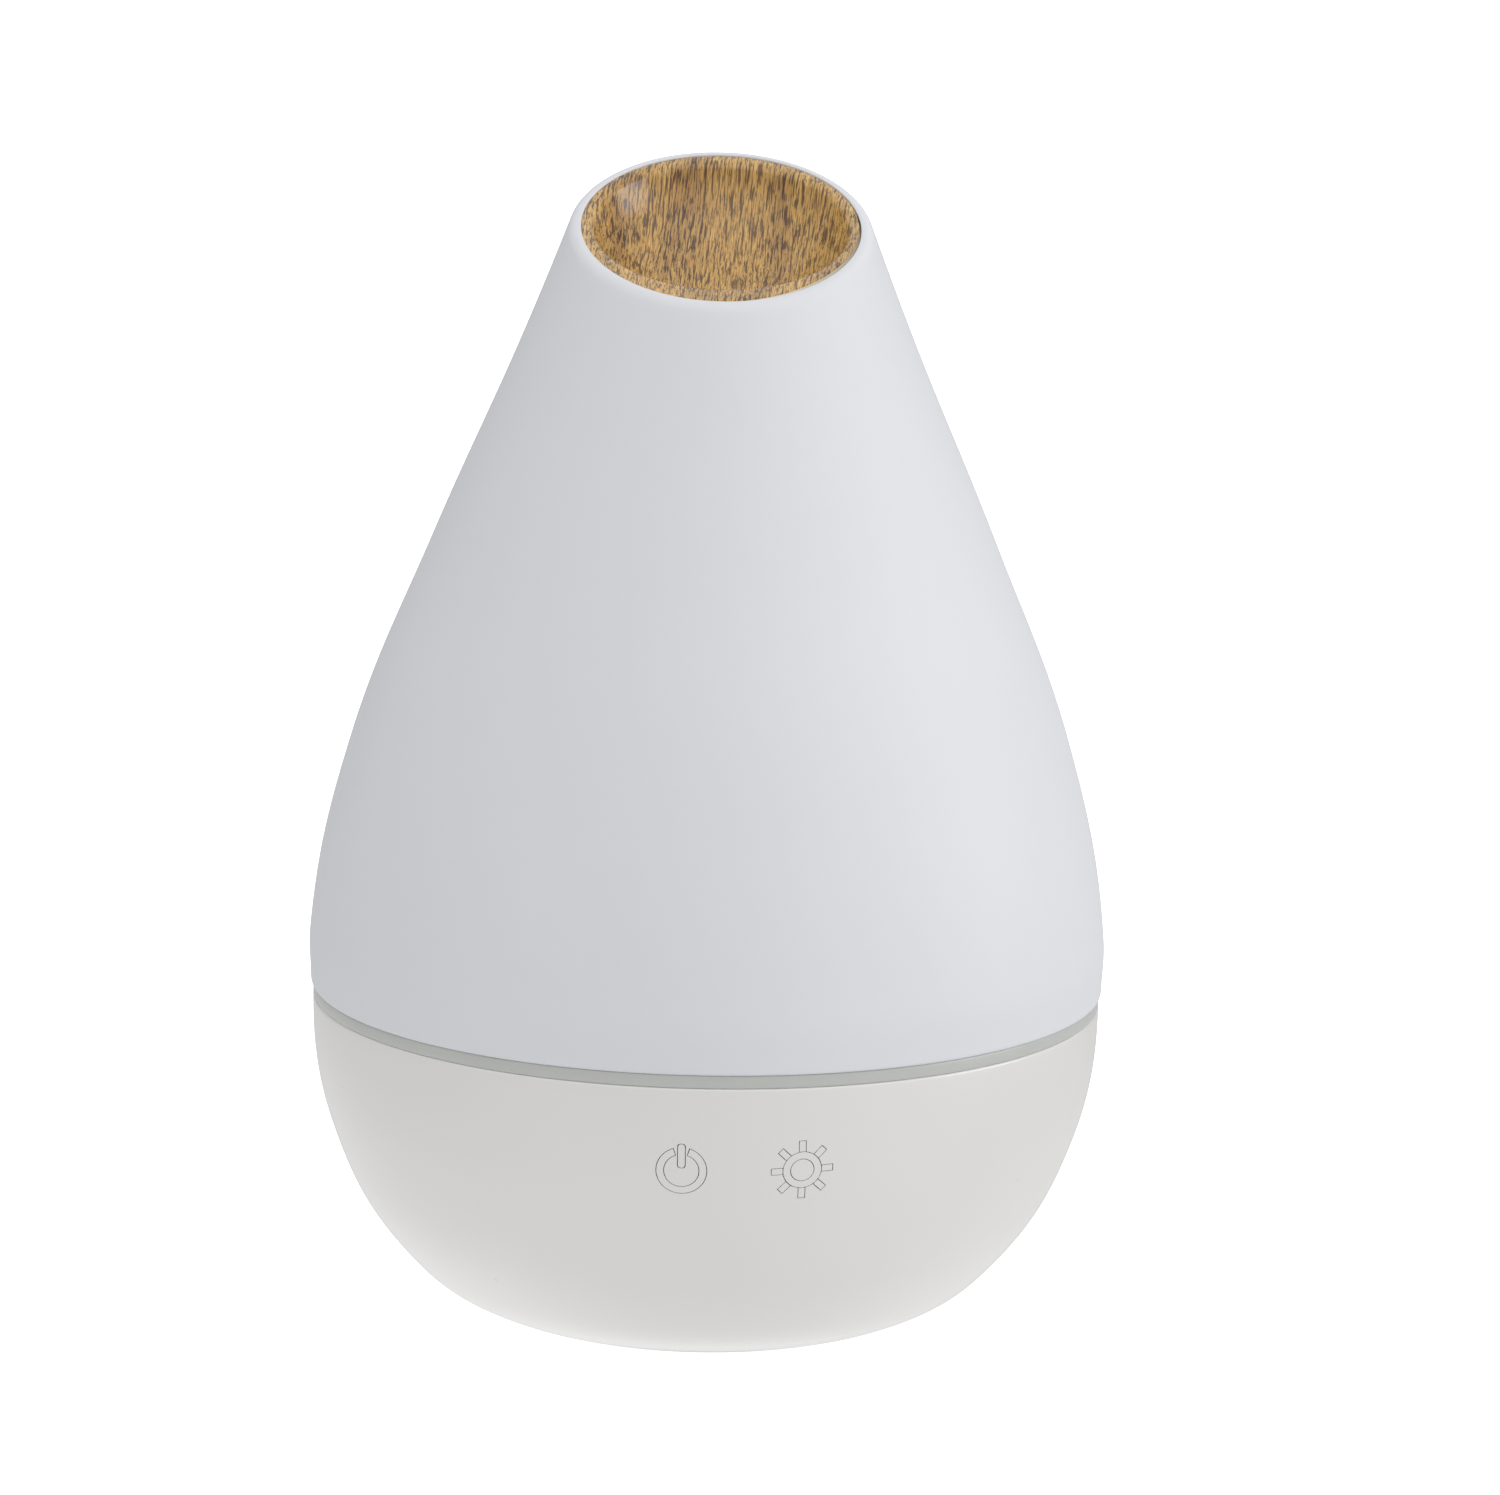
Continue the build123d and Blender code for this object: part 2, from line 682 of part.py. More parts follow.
def bottom_plate():
    """Stepped plate that closes the bowl, with an air grille, standoffs and screw bosses."""
    inner = plate_radius - plate_lap - loose
    zone = rod(inner, 0, BIG)
    plate = rod(plate_radius - loose, bowl_low, bowl_low + plate_step)
    plate += rod(inner, bowl_low, plate_top)
    for x, y in corners(post_x, post_y):
        plate += rod(plate_boss_radius, bowl_low + plate_step, plate_boss_top, x, y) & zone
    for x, y in board_screw_places():
        plate += rod(standoff_radius, bowl_low, board_low, x, y)
        plate -= rod(board_screw[2] + slip, plate_top, board_low, x, y)
    for x, y in fan_hole_places():
        plate += rod(fan_boss_radius, bowl_low, fan_low, x, y) & zone
        plate -= rod(fan_screw[2] + slip, plate_top - fan_boss_pilot, fan_low, x, y)
    for x, y in corners(post_x, post_y):
        plate -= rod(foot_pad_radius + loose, 0, bowl_low + foot_recess, x, y)
        plate -= rod(bottom_screw[0] + loose, 0, plate_boss_top - screw_seat, x, y)
        plate -= rod(bottom_screw[2] + 2 * slip, 0, plate_boss_top, x, y)
    count = int((grille_radius - grille_slot) / grille_pitch)
    for i in range(-count, count + 1):
        chord = 2 * math.sqrt(grille_radius**2 - (i * grille_pitch) ** 2)
        slot = Pos(0, fan_y + i * grille_pitch) * SlotOverall(chord, grille_slot)
        plate -= extrude(slot, BIG)
    return plate


def bottom_screws():
    """Four screws that pull the plate, the bowl and the tank together."""
    driven = Rot(180, 0, 0) * screw(bottom_screw)
    low = plate_boss_top - screw_seat
    return joined([Pos(x, y, low) * driven for x, y in corners(post_x, post_y)])


def rubber_feet():
    """Four round feet that hide the screws."""
    foot = rod(foot_pad_radius, 0, bowl_low + foot_recess)
    foot = chamfer(foot.edges().group_by(Axis.Z)[0], foot_bevel)
    return joined([Pos(x, y, 0) * foot for x, y in corners(post_x, post_y)])


# ---- fan ------------------------------------------------------------------------------------------------
def fan_frame():
    """Square frame with a round bore, three struts and a hub boss."""
    frame = block(fan_size, fan_size, fan_low, fan_top, 0, fan_y)
    frame = fillet(frame.edges().filter_by(Axis.Z), fan_corner)
    frame -= rod(fan_bore, fan_low, fan_top, 0, fan_y)
    frame += rod(fan_hub, fan_low, fan_low + fan_floor, 0, fan_y)
    reach = fan_bore + slip
    strut = Pos(0, reach / 2, fan_low) * Box(strut_width, reach, fan_floor, align=UP)
    for i in range(fan_struts):
        frame += Pos(0, fan_y, 0) * Rot(0, 0, 360 / fan_struts * i) * strut
    boss_top = fan_top - boss_drop
    frame += tube(bush_radius + boss_wall, bush_radius, fan_low + fan_floor, boss_top, 0, fan_y)
    for x, y in fan_hole_places():
        frame -= rod(fan_hole, fan_low, fan_top, x, y)
    return frame


def fan_bush():
    """Bearing bush in the frame's hub boss."""
    low, high = fan_low + fan_floor, fan_top - boss_drop
    return tube(bush_radius, shaft_radius + slip, low, high, 0, fan_y)


def fan_stator():
    """Four wound poles round the hub boss."""
    low, high = fan_low + fan_floor + stator_lift, fan_top - stator_drop
    boss = bush_radius + boss_wall
    core = tube(boss + stator_core, boss, low, high, 0, fan_y)
    pole = block(*pole_size, low, high, 0, boss + pole_size[1] / 2 + slip)
    shoe = block(*shoe_size, low, high, 0, shoe_radius - shoe_size[1] / 2) & rod(shoe_radius, low, high)
    for i in range(stator_poles):
        core += Pos(0, fan_y, 0) * Rot(0, 0, 360 / stator_poles * i) * (pole + shoe)
    return core


def fan_rotor():
    """Cup-shaped hub with seven inclined blades."""
    low, high = fan_low + fan_floor + rotor_lift, fan_top - rotor_drop
    cup = rod(fan_hub, low, high) - rod(fan_hub - cup_wall, low, high - cup_wall)
    cup = fillet(cup.edges().group_by(Axis.Z)[-1], cup_round)
    reach = fan_bore - blade_tip_gap
    blade = Pos(0, 0, (low + high) / 2) * Rot(blade_angle, 0, 0) * Pos(reach / 2, 0, 0)
    blade = blade * Box(reach + 2 * blade_tip_gap, *blade_size)
    sweep_zone = tube(reach, fan_hub - cup_wall / 2, low, high)
    for i in range(fan_blades):
        cup += Rot(0, 0, 360 / fan_blades * i) * blade & sweep_zone
    cup += rod(shaft_radius + boss_wall, high - 2 * shaft_seat, high)
    cup -= rod(shaft_radius, low, high - shaft_seat)
    return Pos(0, fan_y, 0) * cup


def fan_magnet():
    """Ring magnet in the rotor's cup."""
    outer = fan_hub - cup_wall
    low, high = fan_low + fan_floor + stator_lift, fan_top - rotor_drop - 2 * cup_wall
    return tube(outer, outer - magnet_wall, low, high, 0, fan_y)


def fan_shaft():
    """Steel shaft, pressed into the rotor."""
    low, high = fan_low + fan_floor + loose, fan_top - rotor_drop - shaft_seat
    return rod(shaft_radius, low, high, 0, fan_y)


def fan_hood():
    """Drum over the fan with a square flange and a tube into the air tower."""
    outer = fan_bore + hood_lip
    top = fan_top + hood_height
    hood = block(fan_size, fan_size, fan_top, fan_top + hood_flange, 0, fan_y)
    hood = fillet(hood.edges().filter_by(Axis.Z), fan_corner)
    hood += rod(outer, fan_top, top, 0, fan_y)
    hood -= rod(outer - hood_wall, fan_top, top - hood_wall, 0, fan_y)
    hood += rod(hood_tube + hood_wall, top - hood_wall, tank_floor, 0, tower_y)
    hood -= rod(hood_tube, top - hood_wall, tank_floor, 0, tower_y)
    for x, y in fan_hole_places():
        hood -= rod(fan_hole, fan_top, top, x, y)
    return hood


def fan_screws():
    """Two long screws through hood and frame into the plate."""
    high = fan_top + hood_flange
    ends = (fan_hole_places()[0], fan_hole_places()[-1])
    return joined([Pos(x, y, high) * screw(fan_screw) for x, y in ends])


# ---- electronics ------------------------------------------------------------------------------------------
def main_board():
    """Driver board on the plate's standoffs."""
    board = block(*board_size, board_low, board_top, 0, board_y)
    board = fillet(board.edges().filter_by(Axis.Z), board_corner)
    for x, y in board_screw_places():
        board -= rod(board_hole, board_low, board_top, x, y)
    return board


def board_screws():
    """Four screws that hold the board."""
    return joined([Pos(x, y, board_top) * screw(board_screw) for x, y in board_screw_places()])


def coil_core():
    """Ferrite drum of the driver coil."""
    x, y = coil_place
    top = board_top + coil_height
    core = rod(coil_radius, board_top, top, x, y)
    low, high = board_top + coil_flange, top - coil_flange
    return core - tube(coil_radius, coil_radius - coil_groove, low, high, x, y)


def coil_winding():
    """Copper winding on the drum."""
    x, y = coil_place
    low, high = board_top + coil_flange, board_top + coil_height - coil_flange
    return tube(coil_radius - wire_inset, coil_radius - coil_groove, low, high, x, y)


def capacitors():
    """Two electrolytic cans."""
    made = []
    low, high, deep = can_groove
    for x, y, radius, height in cans:
        can = rod(radius, board_top, board_top + height, x, y)
        can = fillet(can.edges().group_by(Axis.Z)[-1], can_round)
        groove = tube(radius + slip, radius - deep, board_top + low, board_top + high, x, y)
        made.append(can - groove)
    return joined(made)


def power_transistor():
    """Flat power transistor under the heat sink."""
    width, depth, height = transistor_size
    return block(width, depth, board_top, board_top + height, *transistor_place)


def heat_sink():
    """Finned block on the transistor."""
    x, y = transistor_place
    width, depth, height = sink_size
    low = board_top + transistor_size[2]
    sink = block(width, depth, low, low + height, x, y)
    for i in (-1, 0, 1):
        sink -= block(sink_slot, depth, low + sink_floor, low + height, x + sink_pitch * i, y)
    return sink


def control_chip():
    """Small controller with its body and legs."""
    x, y = chip_place
    width, depth, height = chip_size
    chip = block(width, depth, board_top + chip_lift, board_top + chip_lift + height, x, y)
    for i in (-1, 0, 1):
        chip += block(*leg_size[:2], board_top, board_top + leg_size[2], x, y + leg_pitch * i)
    return chip


def lead_sockets():
    """Four cable sockets on the board."""
    made = []
    for x, y, width, depth in sockets.values():
        body = block(width, depth, board_top, board_top + socket_high, x, y)
        made.append(chamfer(body.edges().filter_by(Axis.Z), socket_bevel))
    return joined(made)


def ribbon_socket():
    """Flat socket for the touch foil's tail, at the board's front edge."""
    width, depth, height = ribbon_size
    front = board_y - board_size[1] / 2
    return block(width, depth, board_top, board_top + height, 0, front + ribbon_inset)


def light_board():
    """Ring-shaped board under the tank."""
    inner, outer = light_ring
    return tube(outer, inner, light_low, light_low + light_thick)


def light_leds():
    """Six white lamps on the ring."""
    lamps = []
    top = light_low + light_thick
    size, height = lamp_size
    dimple, deep = lamp_dimple
    for i in range(light_count):
        lamp = block(size, size, top, top + height) - rod(dimple, top + height - deep, top + height)
        turn = 360 / light_count * (i + 0.5)
        lamps.append(Rot(0, 0, turn) * Pos(sum(light_ring) / 2, 0, 0) * lamp)
    return joined(lamps)


def front_wedge(half_angle, low, high):
    """Front sector of the bowl's space between two heights."""
    reach = body_radius * 2
    side = reach * math.tan(math.radians(half_angle))
    outline = Polyline((0, 0), (-side, -reach), (side, -reach), (0, 0))
    return Pos(0, 0, low) * extrude(make_face(outline), high - low)


def touch_foil():
    """Sensor foil stuck to the inside of the bowl behind the icons."""
    deep = base_wall + foil_thick
    layer = bowl_core(base_wall, bowl_low, bowl_top) - bowl_core(deep, bowl_low, bowl_top)
    return layer & front_wedge(foil_half_angle, icon_z - foil_half_height, icon_z + foil_half_height)


def touch_tail():
    """Flat tail from the foil down the bowl and back to the board."""
    deep = base_wall + foil_thick
    low = board_top + tail_lift
    layer = bowl_core(base_wall, bowl_low, bowl_top) - bowl_core(deep, bowl_low, bowl_top)
    width = 2 * tail_half_width
    middle = -body_radius / 2 - tail_reach
    strip = block(width, body_radius, low, icon_z - foil_half_height, 0, middle)
    front = board_y - board_size[1] / 2 + tail_lap
    reach = radius_at(inset(bowl_edge(), base_wall), low + foil_thick)
    depth = reach - tail_clear + front
    flat = block(width, depth, low, low + foil_thick, 0, front - depth / 2)
    return (layer & strip) + flat


# ---- power inlet -----------------------------------------------------------------------------
def dc_jack():
    """Moulded jack behind the plug well."""
    width, depth, height = jack_size
    low = jack_z - height / 2
    body = block(width, depth, low, low + height, 0, jack_face_y - depth / 2)
    body = chamfer(body.edges().filter_by(Axis.Y), jack_bevel)
    return body - jack_tube(jack_bore, jack_face_y - jack_bore_depth, jack_bore_depth)


def jack_contact():
    """Centre pin of the jack."""
    return jack_tube(jack_pin, jack_face_y - jack_bore_depth, jack_bore_depth - pin_short)


def jack_tabs():
    """Two solder tabs under the jack."""
    width, depth, height = tab_size
    low = jack_z - jack_size[2] / 2
    middle = jack_face_y - jack_size[1] / 2
    return joined([block(width, depth, low - height, low, x, middle) for x in (-tab_x, tab_x)])


# ---- cables: their points stay as chosen -----------------------------------------------------
def jack_cable():
    """From the jack's tabs round the fan to the board."""
    x, y, _, depth = sockets["jack"]
    middle = jack_face_y - jack_size[1] / 2
    low = jack_z - jack_size[2] / 2 - 1.6
    beside = fan_rim + 1.6
    high = board_top + socket_entry
    return cable(
        [
            (2.5, middle, low),
            (12.5, middle, low),
            (beside, fan_y + 12.0, low - 1.6),
            (beside, fan_y - 11.0, low - 1.6),
            (x + 0.6, fan_y - fan_rim - 4.0, high),
            (x + 0.6, y + depth / 2, high),
        ]
    )


def fan_cable():
    """From the fan's frame to the board."""
    x, y, _, depth = sockets["fan"]
    high = board_top + socket_entry
    return cable(
        [
            (-fan_rim, fan_y - 7.0, fan_low + 2.0),
            (-fan_rim - 3.0, fan_y - 7.0, fan_low + 2.0),
            (-fan_rim - 1.8, fan_y - 14.0, fan_low + 4.0),
            (x - 0.6, fan_y - fan_rim - 4.5, high),
            (x - 0.6, y + depth / 2, high),
        ],
        bend=1.3,
    )


def transducer_cable():
    """From the disc through the clamp to the board."""
    x, y, _, _ = sockets["transducer"]
    start = tank_under - seal_height / 2 - disc_thick / 2
    run = tank_under - seal_height - clamp_thick - 1.2
    top = board_top + socket_high
    return cable([(x, disc_y, start), (x, disc_y, run), (x, y, run), (x, y, top)], bend=1.6)


def light_cable():
    """From the light ring down to the board."""
    x, y, width, _ = sockets["light"]
    ring_x = -34.7
    ring_y = -12.8
    high = board_top + socket_entry
    return cable(
        [
            (ring_x, ring_y, light_low),
            (ring_x, ring_y, high + 2),
            (-28.0, y, high),
            (x - width / 2, y, high),
        ],
        bend=2.5,
    )


# ---- write every node ------------------------------------------------------------------------
def cover_turned(shape):
    """Cover pieces stand turned on the base."""
    return Rot(0, 0, cover_turn) * shape


nodes = {
    "upper_cover": lambda: cover_turned(upper_cover()),
    "wood_dish": lambda: cover_turned(wood_dish()),
    "mist_duct": lambda: cover_turned(mist_duct()),
    "base_shell": base_shell,
    "power_icon": lambda: touch_icon(power_shape, -icon_angle),
    "light_icon": lambda: touch_icon(sun_shape, icon_angle),
    "water_tank": water_tank,
    "air_tower": air_tower,
    "tank_gasket": tank_gasket,
    "air_cap": air_cap,
    "transducer_disc": transducer_disc,
    "transducer_seal": transducer_seal,
    "transducer_clamp": transducer_clamp,
    "clamp_screws": clamp_screws,
    "bottom_plate": bottom_plate,
    "bottom_screws": bottom_screws,
    "rubber_feet": rubber_feet,
    "fan_frame": fan_frame,
    "fan_bush": fan_bush,
    "fan_stator": fan_stator,
    "fan_rotor": fan_rotor,
    "fan_magnet": fan_magnet,
    "fan_shaft": fan_shaft,
    "fan_hood": fan_hood,
    "fan_screws": fan_screws,
    "main_board": main_board,
    "board_screws": board_screws,
    "coil_core": coil_core,
    "coil_winding": coil_winding,
    "capacitors": capacitors,
    "power_transistor": power_transistor,
    "heat_sink": heat_sink,
    "control_chip": control_chip,
    "lead_sockets": lead_sockets,
    "ribbon_socket": ribbon_socket,
    "light_board": light_board,
    "light_leds": light_leds,
    "touch_foil": touch_foil,
    "touch_tail": touch_tail,
    "dc_jack": dc_jack,
    "jack_contact": jack_contact,
    "jack_tabs": jack_tabs,
    "jack_cable": jack_cable,
    "fan_cable": fan_cable,
    "transducer_cable": transducer_cable,
    "light_cable": light_cable,
}

os.makedirs("parts", exist_ok=True)
for name, make in nodes.items():
    shape = make()
    export_step(shape, f"parts/{name}.step")
    print(name, len(shape.solids()), round(sum(s.volume for s in shape.solids())))
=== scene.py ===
# %% [markdown]
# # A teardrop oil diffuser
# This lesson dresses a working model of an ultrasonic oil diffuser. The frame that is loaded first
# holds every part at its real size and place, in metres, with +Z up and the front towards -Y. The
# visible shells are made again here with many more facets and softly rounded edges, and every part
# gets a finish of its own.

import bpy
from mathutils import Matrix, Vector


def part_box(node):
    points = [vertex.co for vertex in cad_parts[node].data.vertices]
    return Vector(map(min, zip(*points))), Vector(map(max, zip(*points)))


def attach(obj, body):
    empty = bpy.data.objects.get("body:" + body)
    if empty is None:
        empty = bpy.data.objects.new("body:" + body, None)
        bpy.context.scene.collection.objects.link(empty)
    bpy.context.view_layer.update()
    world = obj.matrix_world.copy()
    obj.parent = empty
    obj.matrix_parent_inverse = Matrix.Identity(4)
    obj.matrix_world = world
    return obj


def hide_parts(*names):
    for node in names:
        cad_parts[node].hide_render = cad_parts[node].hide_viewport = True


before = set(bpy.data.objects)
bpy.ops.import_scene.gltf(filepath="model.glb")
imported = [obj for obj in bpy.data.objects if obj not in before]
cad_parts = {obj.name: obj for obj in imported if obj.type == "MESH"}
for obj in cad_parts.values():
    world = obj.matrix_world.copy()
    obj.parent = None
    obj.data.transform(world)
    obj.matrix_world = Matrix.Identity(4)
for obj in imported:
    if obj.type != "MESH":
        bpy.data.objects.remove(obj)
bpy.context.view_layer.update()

import math

import bmesh
import bpy
from mathutils import Matrix, Vector

# %% [markdown]
# ## Driving sizes
# A few sizes describe the outside of the diffuser. Heights are read from the frame wherever a part's
# own box gives them, so that the shells meet the parts that stay. The others are the walls, the
# clearances and the slant of the mouth, in metres and degrees.

# %% Sizes
MM = 0.001
bowl_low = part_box("base_shell")[0].z
bowl_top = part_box("base_shell")[1].z
seam_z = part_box("upper_cover")[0].z
body_radius = 59.94 * MM
seam_radius = 59.8 * MM
rim_step = 0.35 * MM
base_radius = seam_radius - rim_step
foot_radius = 35.0 * MM
cover_height = 116.3 * MM
mouth_radius = 22.0 * MM
mouth_tilt = math.radians(21.7)
cover_turn = math.radians(-4.5)
cover_wall = 1.5 * MM
base_wall = 2.2 * MM
mouth_z = seam_z + cover_height
round_count = 256
print("seam", round(seam_z / MM, 2), "mouth", round(mouth_z / MM, 2))

# %% [markdown]
# ## Outlines as Bezier curves
# A turned shell starts as half of its section. A Bezier curve with automatic handles passes through
# a few points and stays smooth between them, as a bent batten does, so it needs only the points
# that give the section its character. The curve is read as a mesh, whose vertices run along it.


# %% Smooth line through a few points
def smooth_line(points, steps=12, ends=()):
    """Points along a smooth curve through (radius, height) points; ends may fix end directions."""
    curve = bpy.data.curves.new("outline", "CURVE")
    curve.dimensions = "3D"
    curve.resolution_u = steps
    spline = curve.splines.new("BEZIER")
    spline.bezier_points.add(len(points) - 1)
    for knot, (radius, height) in zip(spline.bezier_points, points):
        knot.co = (radius, 0, height)
        knot.handle_left_type = knot.handle_right_type = "AUTO"
    holder = bpy.data.objects.new("outline", curve)
    bpy.context.scene.collection.objects.link(holder)
    bpy.context.view_layer.update()
    for index, reach in ends:
        knot = spline.bezier_points[index]
        knot.handle_left_type = knot.handle_right_type = "FREE"
        knot.handle_left = knot.co - Vector((reach[0], 0, reach[1]))
        knot.handle_right = knot.co + Vector((reach[0], 0, reach[1]))
    bpy.context.view_layer.update()
    mesh = bpy.data.meshes.new_from_object(holder)
    line = [(v.co.x, v.co.z) for v in mesh.vertices]
    bpy.data.meshes.remove(mesh)
    bpy.data.objects.remove(holder)
    bpy.data.curves.remove(curve)
    return line


cover_outline = [(1.0, 0.072), (0.85, 0.315), (0.529, 0.585), (0.174, 0.855), (-0.152, 1.13)]
cover_knots = [(seam_radius, seam_z)]
for kept, share in cover_outline:
    cover_knots.append((mouth_radius + (body_radius - mouth_radius) * kept, seam_z + cover_height * share))
cover_line = smooth_line(cover_knots)
bowl_outline = [(0.0, 0.0), (0.44, 0.168), (0.878, 0.576), (1.0, 1.0)]
bowl_height = bowl_top - bowl_low
bowl_knots = [
    (foot_radius + (base_radius - foot_radius) * gained, bowl_low + bowl_height * share)
    for gained, share in bowl_outline
]
bowl_line = smooth_line(bowl_knots, ends=((0, (5.2 * MM, 2.2 * MM)), (3, (0, 6.5 * MM))))
print("cover line", len(cover_line), "bowl line", len(bowl_line))


# %% Radius of an outline at a height
def radius_at(line, height):
    """Radius where an outline passes a height."""
    for (r0, z0), (r1, z1) in zip(line, line[1:]):
        if z0 <= height <= z1:
            return r0 + (r1 - r0) * (height - z0) / (z1 - z0)
    return line[0][0] if height < line[0][1] else line[-1][0]


def inset_line(line, distance):
    """The same outline moved towards the axis by a wall's thickness, square to itself."""
    moved = []
    for i, (radius, height) in enumerate(line):
        before, after = line[max(i - 1, 0)], line[min(i + 1, len(line) - 1)]
        along = Vector((after[0] - before[0], after[1] - before[1])).normalized()
        moved.append((radius - distance * along.y, height + distance * along.x))
    return moved


# %% [markdown]
# ## From a section to a shell
# The spin operator turns a row of vertices about an axis and joins the rows with faces, which is
# what a lathe does. A closed section gives a closed shell. After a full turn the first and last
# rows are merged, and the normals are worked out again so that every face looks outwards.


# %% Turn a section about an axis
def turn_section(section, closed=True, count=round_count):
    """Bmesh of a section of (radius, height) points, turned about the Z axis."""
    bm = bmesh.new()
    verts = [bm.verts.new((max(radius, 0.0), 0, height)) for radius, height in section]
    edges = [bm.edges.new(pair) for pair in zip(verts, verts[1:])]
    if closed:
        edges.append(bm.edges.new((verts[-1], verts[0])))
    bmesh.ops.spin(
        bm, geom=verts + edges, cent=(0, 0, 0), axis=(0, 0, 1), angle=math.tau, steps=count, use_merge=True
    )
    bmesh.ops.remove_doubles(bm, verts=bm.verts[:], dist=1e-6)
    bmesh.ops.recalc_face_normals(bm, faces=bm.faces[:])
    return bm


def fillet_corner(section, index, radius, steps=6):
    """The section with one corner made round."""
    corner = Vector(section[index])
    before = (Vector(section[index - 1]) - corner).normalized()
    after = (Vector(section[(index + 1) % len(section)]) - corner).normalized()
    half = before.angle(after) / 2
    reach = radius / math.tan(half)
    middle = corner + (before + after).normalized() * (radius / math.sin(half))
    start = corner + before * reach - middle
    end = corner + after * reach - middle
    sweep = start.angle_signed(end)
    arc = []
    for i in range(steps + 1):
        spoke = start.copy()
        spoke.rotate(Matrix.Rotation(-sweep * i / steps, 2))
        arc.append(tuple(middle + spoke))
    return section[:index] + arc + section[index + 1:]


def make_piece(name, bm, body, nodes=(), smooth=35.0):
    """Turn a bmesh into a piece that rides on a body and stands for CAD nodes."""
    mesh = bpy.data.meshes.new(name)
    bm.to_mesh(mesh)
    bm.free()
    piece = bpy.data.objects.new(name, mesh)
    bpy.context.scene.collection.objects.link(piece)
    mesh.shade_smooth()
    mesh.set_sharp_from_angle(angle=math.radians(smooth))
    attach(piece, body)
    if nodes:
        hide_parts(*nodes)
    print(name, len(mesh.vertices), "vertices,", len(mesh.polygons), "faces")
    return piece


# %% [markdown]
# ## Numbers that grow Math nodes
# A finish is easier to read as a sum than as a plate of nodes. This small class wraps one socket,
# and its operators add the Math nodes, with a number allowed on either side. Colours don't go
# through it, because a Math node would turn them grey.


# %% Shader arithmetic
class Field:
    """One output socket that can be added, multiplied and so on."""

    def __init__(self, finish, socket):
        self.finish = finish
        self.socket = socket

    def maths(self, operation, first, second=0.0, clamp=False):
        settings = {"operation": operation, "use_clamp": clamp}
        return self.finish.node("ShaderNodeMath", settings, {0: first, 1: second})

    def __add__(self, other):
        return self.maths("ADD", self, other)

    def __radd__(self, other):
        return self.maths("ADD", other, self)

    def __sub__(self, other):
        return self.maths("SUBTRACT", self, other)

    def __rsub__(self, other):
        return self.maths("SUBTRACT", other, self)

    def __mul__(self, other):
        return self.maths("MULTIPLY", self, other)

    def __rmul__(self, other):
        return self.maths("MULTIPLY", other, self)

    def __truediv__(self, other):
        return self.maths("DIVIDE", self, other)

    def clipped(self):
        return self.maths("ADD", self, 0.0, clamp=True)

    def above(self, edge, width):
        """0 below edge, 1 above edge + width, straight between."""
        return ((self - edge) / width).clipped()


class Finish:
    """A material with one Principled shader, built from named steps."""

    def __init__(self, name, **constants):
        self.material = bpy.data.materials.new(name)
        self.material.use_nodes = True
        self.tree = self.material.node_tree
        self.tree.nodes.clear()
        self.shader = self.tree.nodes.new("ShaderNodeBsdfPrincipled")
        output = self.tree.nodes.new("ShaderNodeOutputMaterial")
        self.tree.links.new(self.shader.outputs[0], output.inputs[0])
        for key, value in constants.items():
            self.shader.inputs[key.replace("_", " ")].default_value = value

    def feed(self, socket, value):
        if isinstance(value, Field):
            self.tree.links.new(value.socket, socket)
        else:
            socket.default_value = value

    def node(self, kind, settings, sockets, out=0):
        made = self.tree.nodes.new(kind)
        for key, value in settings.items():
            setattr(made, key, value)
        for key, value in sockets.items():
            self.feed(made.inputs[key], value)
        return Field(self, made.outputs[out])

    def place(self, scale=(1, 1, 1)):
        """Object coordinates in millimetres, stretched."""
        source = self.node("ShaderNodeTexCoord", {}, {}, out=3)
        return self.stretched(source, [s / MM for s in scale])

    def laid(self, middle, turn):
        """Object coordinates in millimetres, seen from a middle point and turned flat."""
        source = self.node("ShaderNodeTexCoord", {}, {}, out=3)
        moved = self.node("ShaderNodeVectorMath", {"operation": "SUBTRACT"}, {0: source, 1: middle})
        level = self.node("ShaderNodeMapping", {"vector_type": "POINT"}, {0: moved, 2: turn})
        return self.stretched(level, (1 / MM, 1 / MM, 1 / MM))

    def stretched(self, place, scale):
        """Coordinates multiplied along each axis; a 0 flattens one away."""
        return self.node("ShaderNodeVectorMath", {"operation": "MULTIPLY"}, {0: place, 1: scale})

    def shifted(self, place, across):
        """Coordinates moved along X by a varying amount."""
        offset = self.node("ShaderNodeCombineXYZ", {}, {0: across})
        return self.node("ShaderNodeVectorMath", {"operation": "ADD"}, {0: place, 1: offset})

    def noise(self, place, scale, detail=2.0, rough=0.5):
        sockets = {"Vector": place, "Scale": scale, "Detail": detail, "Roughness": rough}
        return self.node("ShaderNodeTexNoise", {}, sockets)

    def mix(self, share, low, high):
        """Colour between low and high."""
        low, high = [(*c, 1.0) if isinstance(c, tuple) and len(c) == 3 else c for c in (low, high)]
        return self.node("ShaderNodeMix", {"data_type": "RGBA"}, {0: share, 6: low, 7: high}, out=2)

    def bump(self, height, depth, strength=1.0):
        """Surface relief whose height of 1 stands for a depth in metres."""
        normal = self.node("ShaderNodeBump", {}, {"Height": height, "Distance": depth, "Strength": strength})
        self.set(Normal=normal)

    def set(self, **varying):
        for key, value in varying.items():
            self.feed(self.shader.inputs[key.replace("_", " ")], value)


def dress(finish, *pieces):
    """Give pieces, or CAD nodes by name, one material."""
    for piece in pieces:
        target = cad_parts[piece] if isinstance(piece, str) else piece
        target.data.materials.clear()
        target.data.materials.append(finish.material)


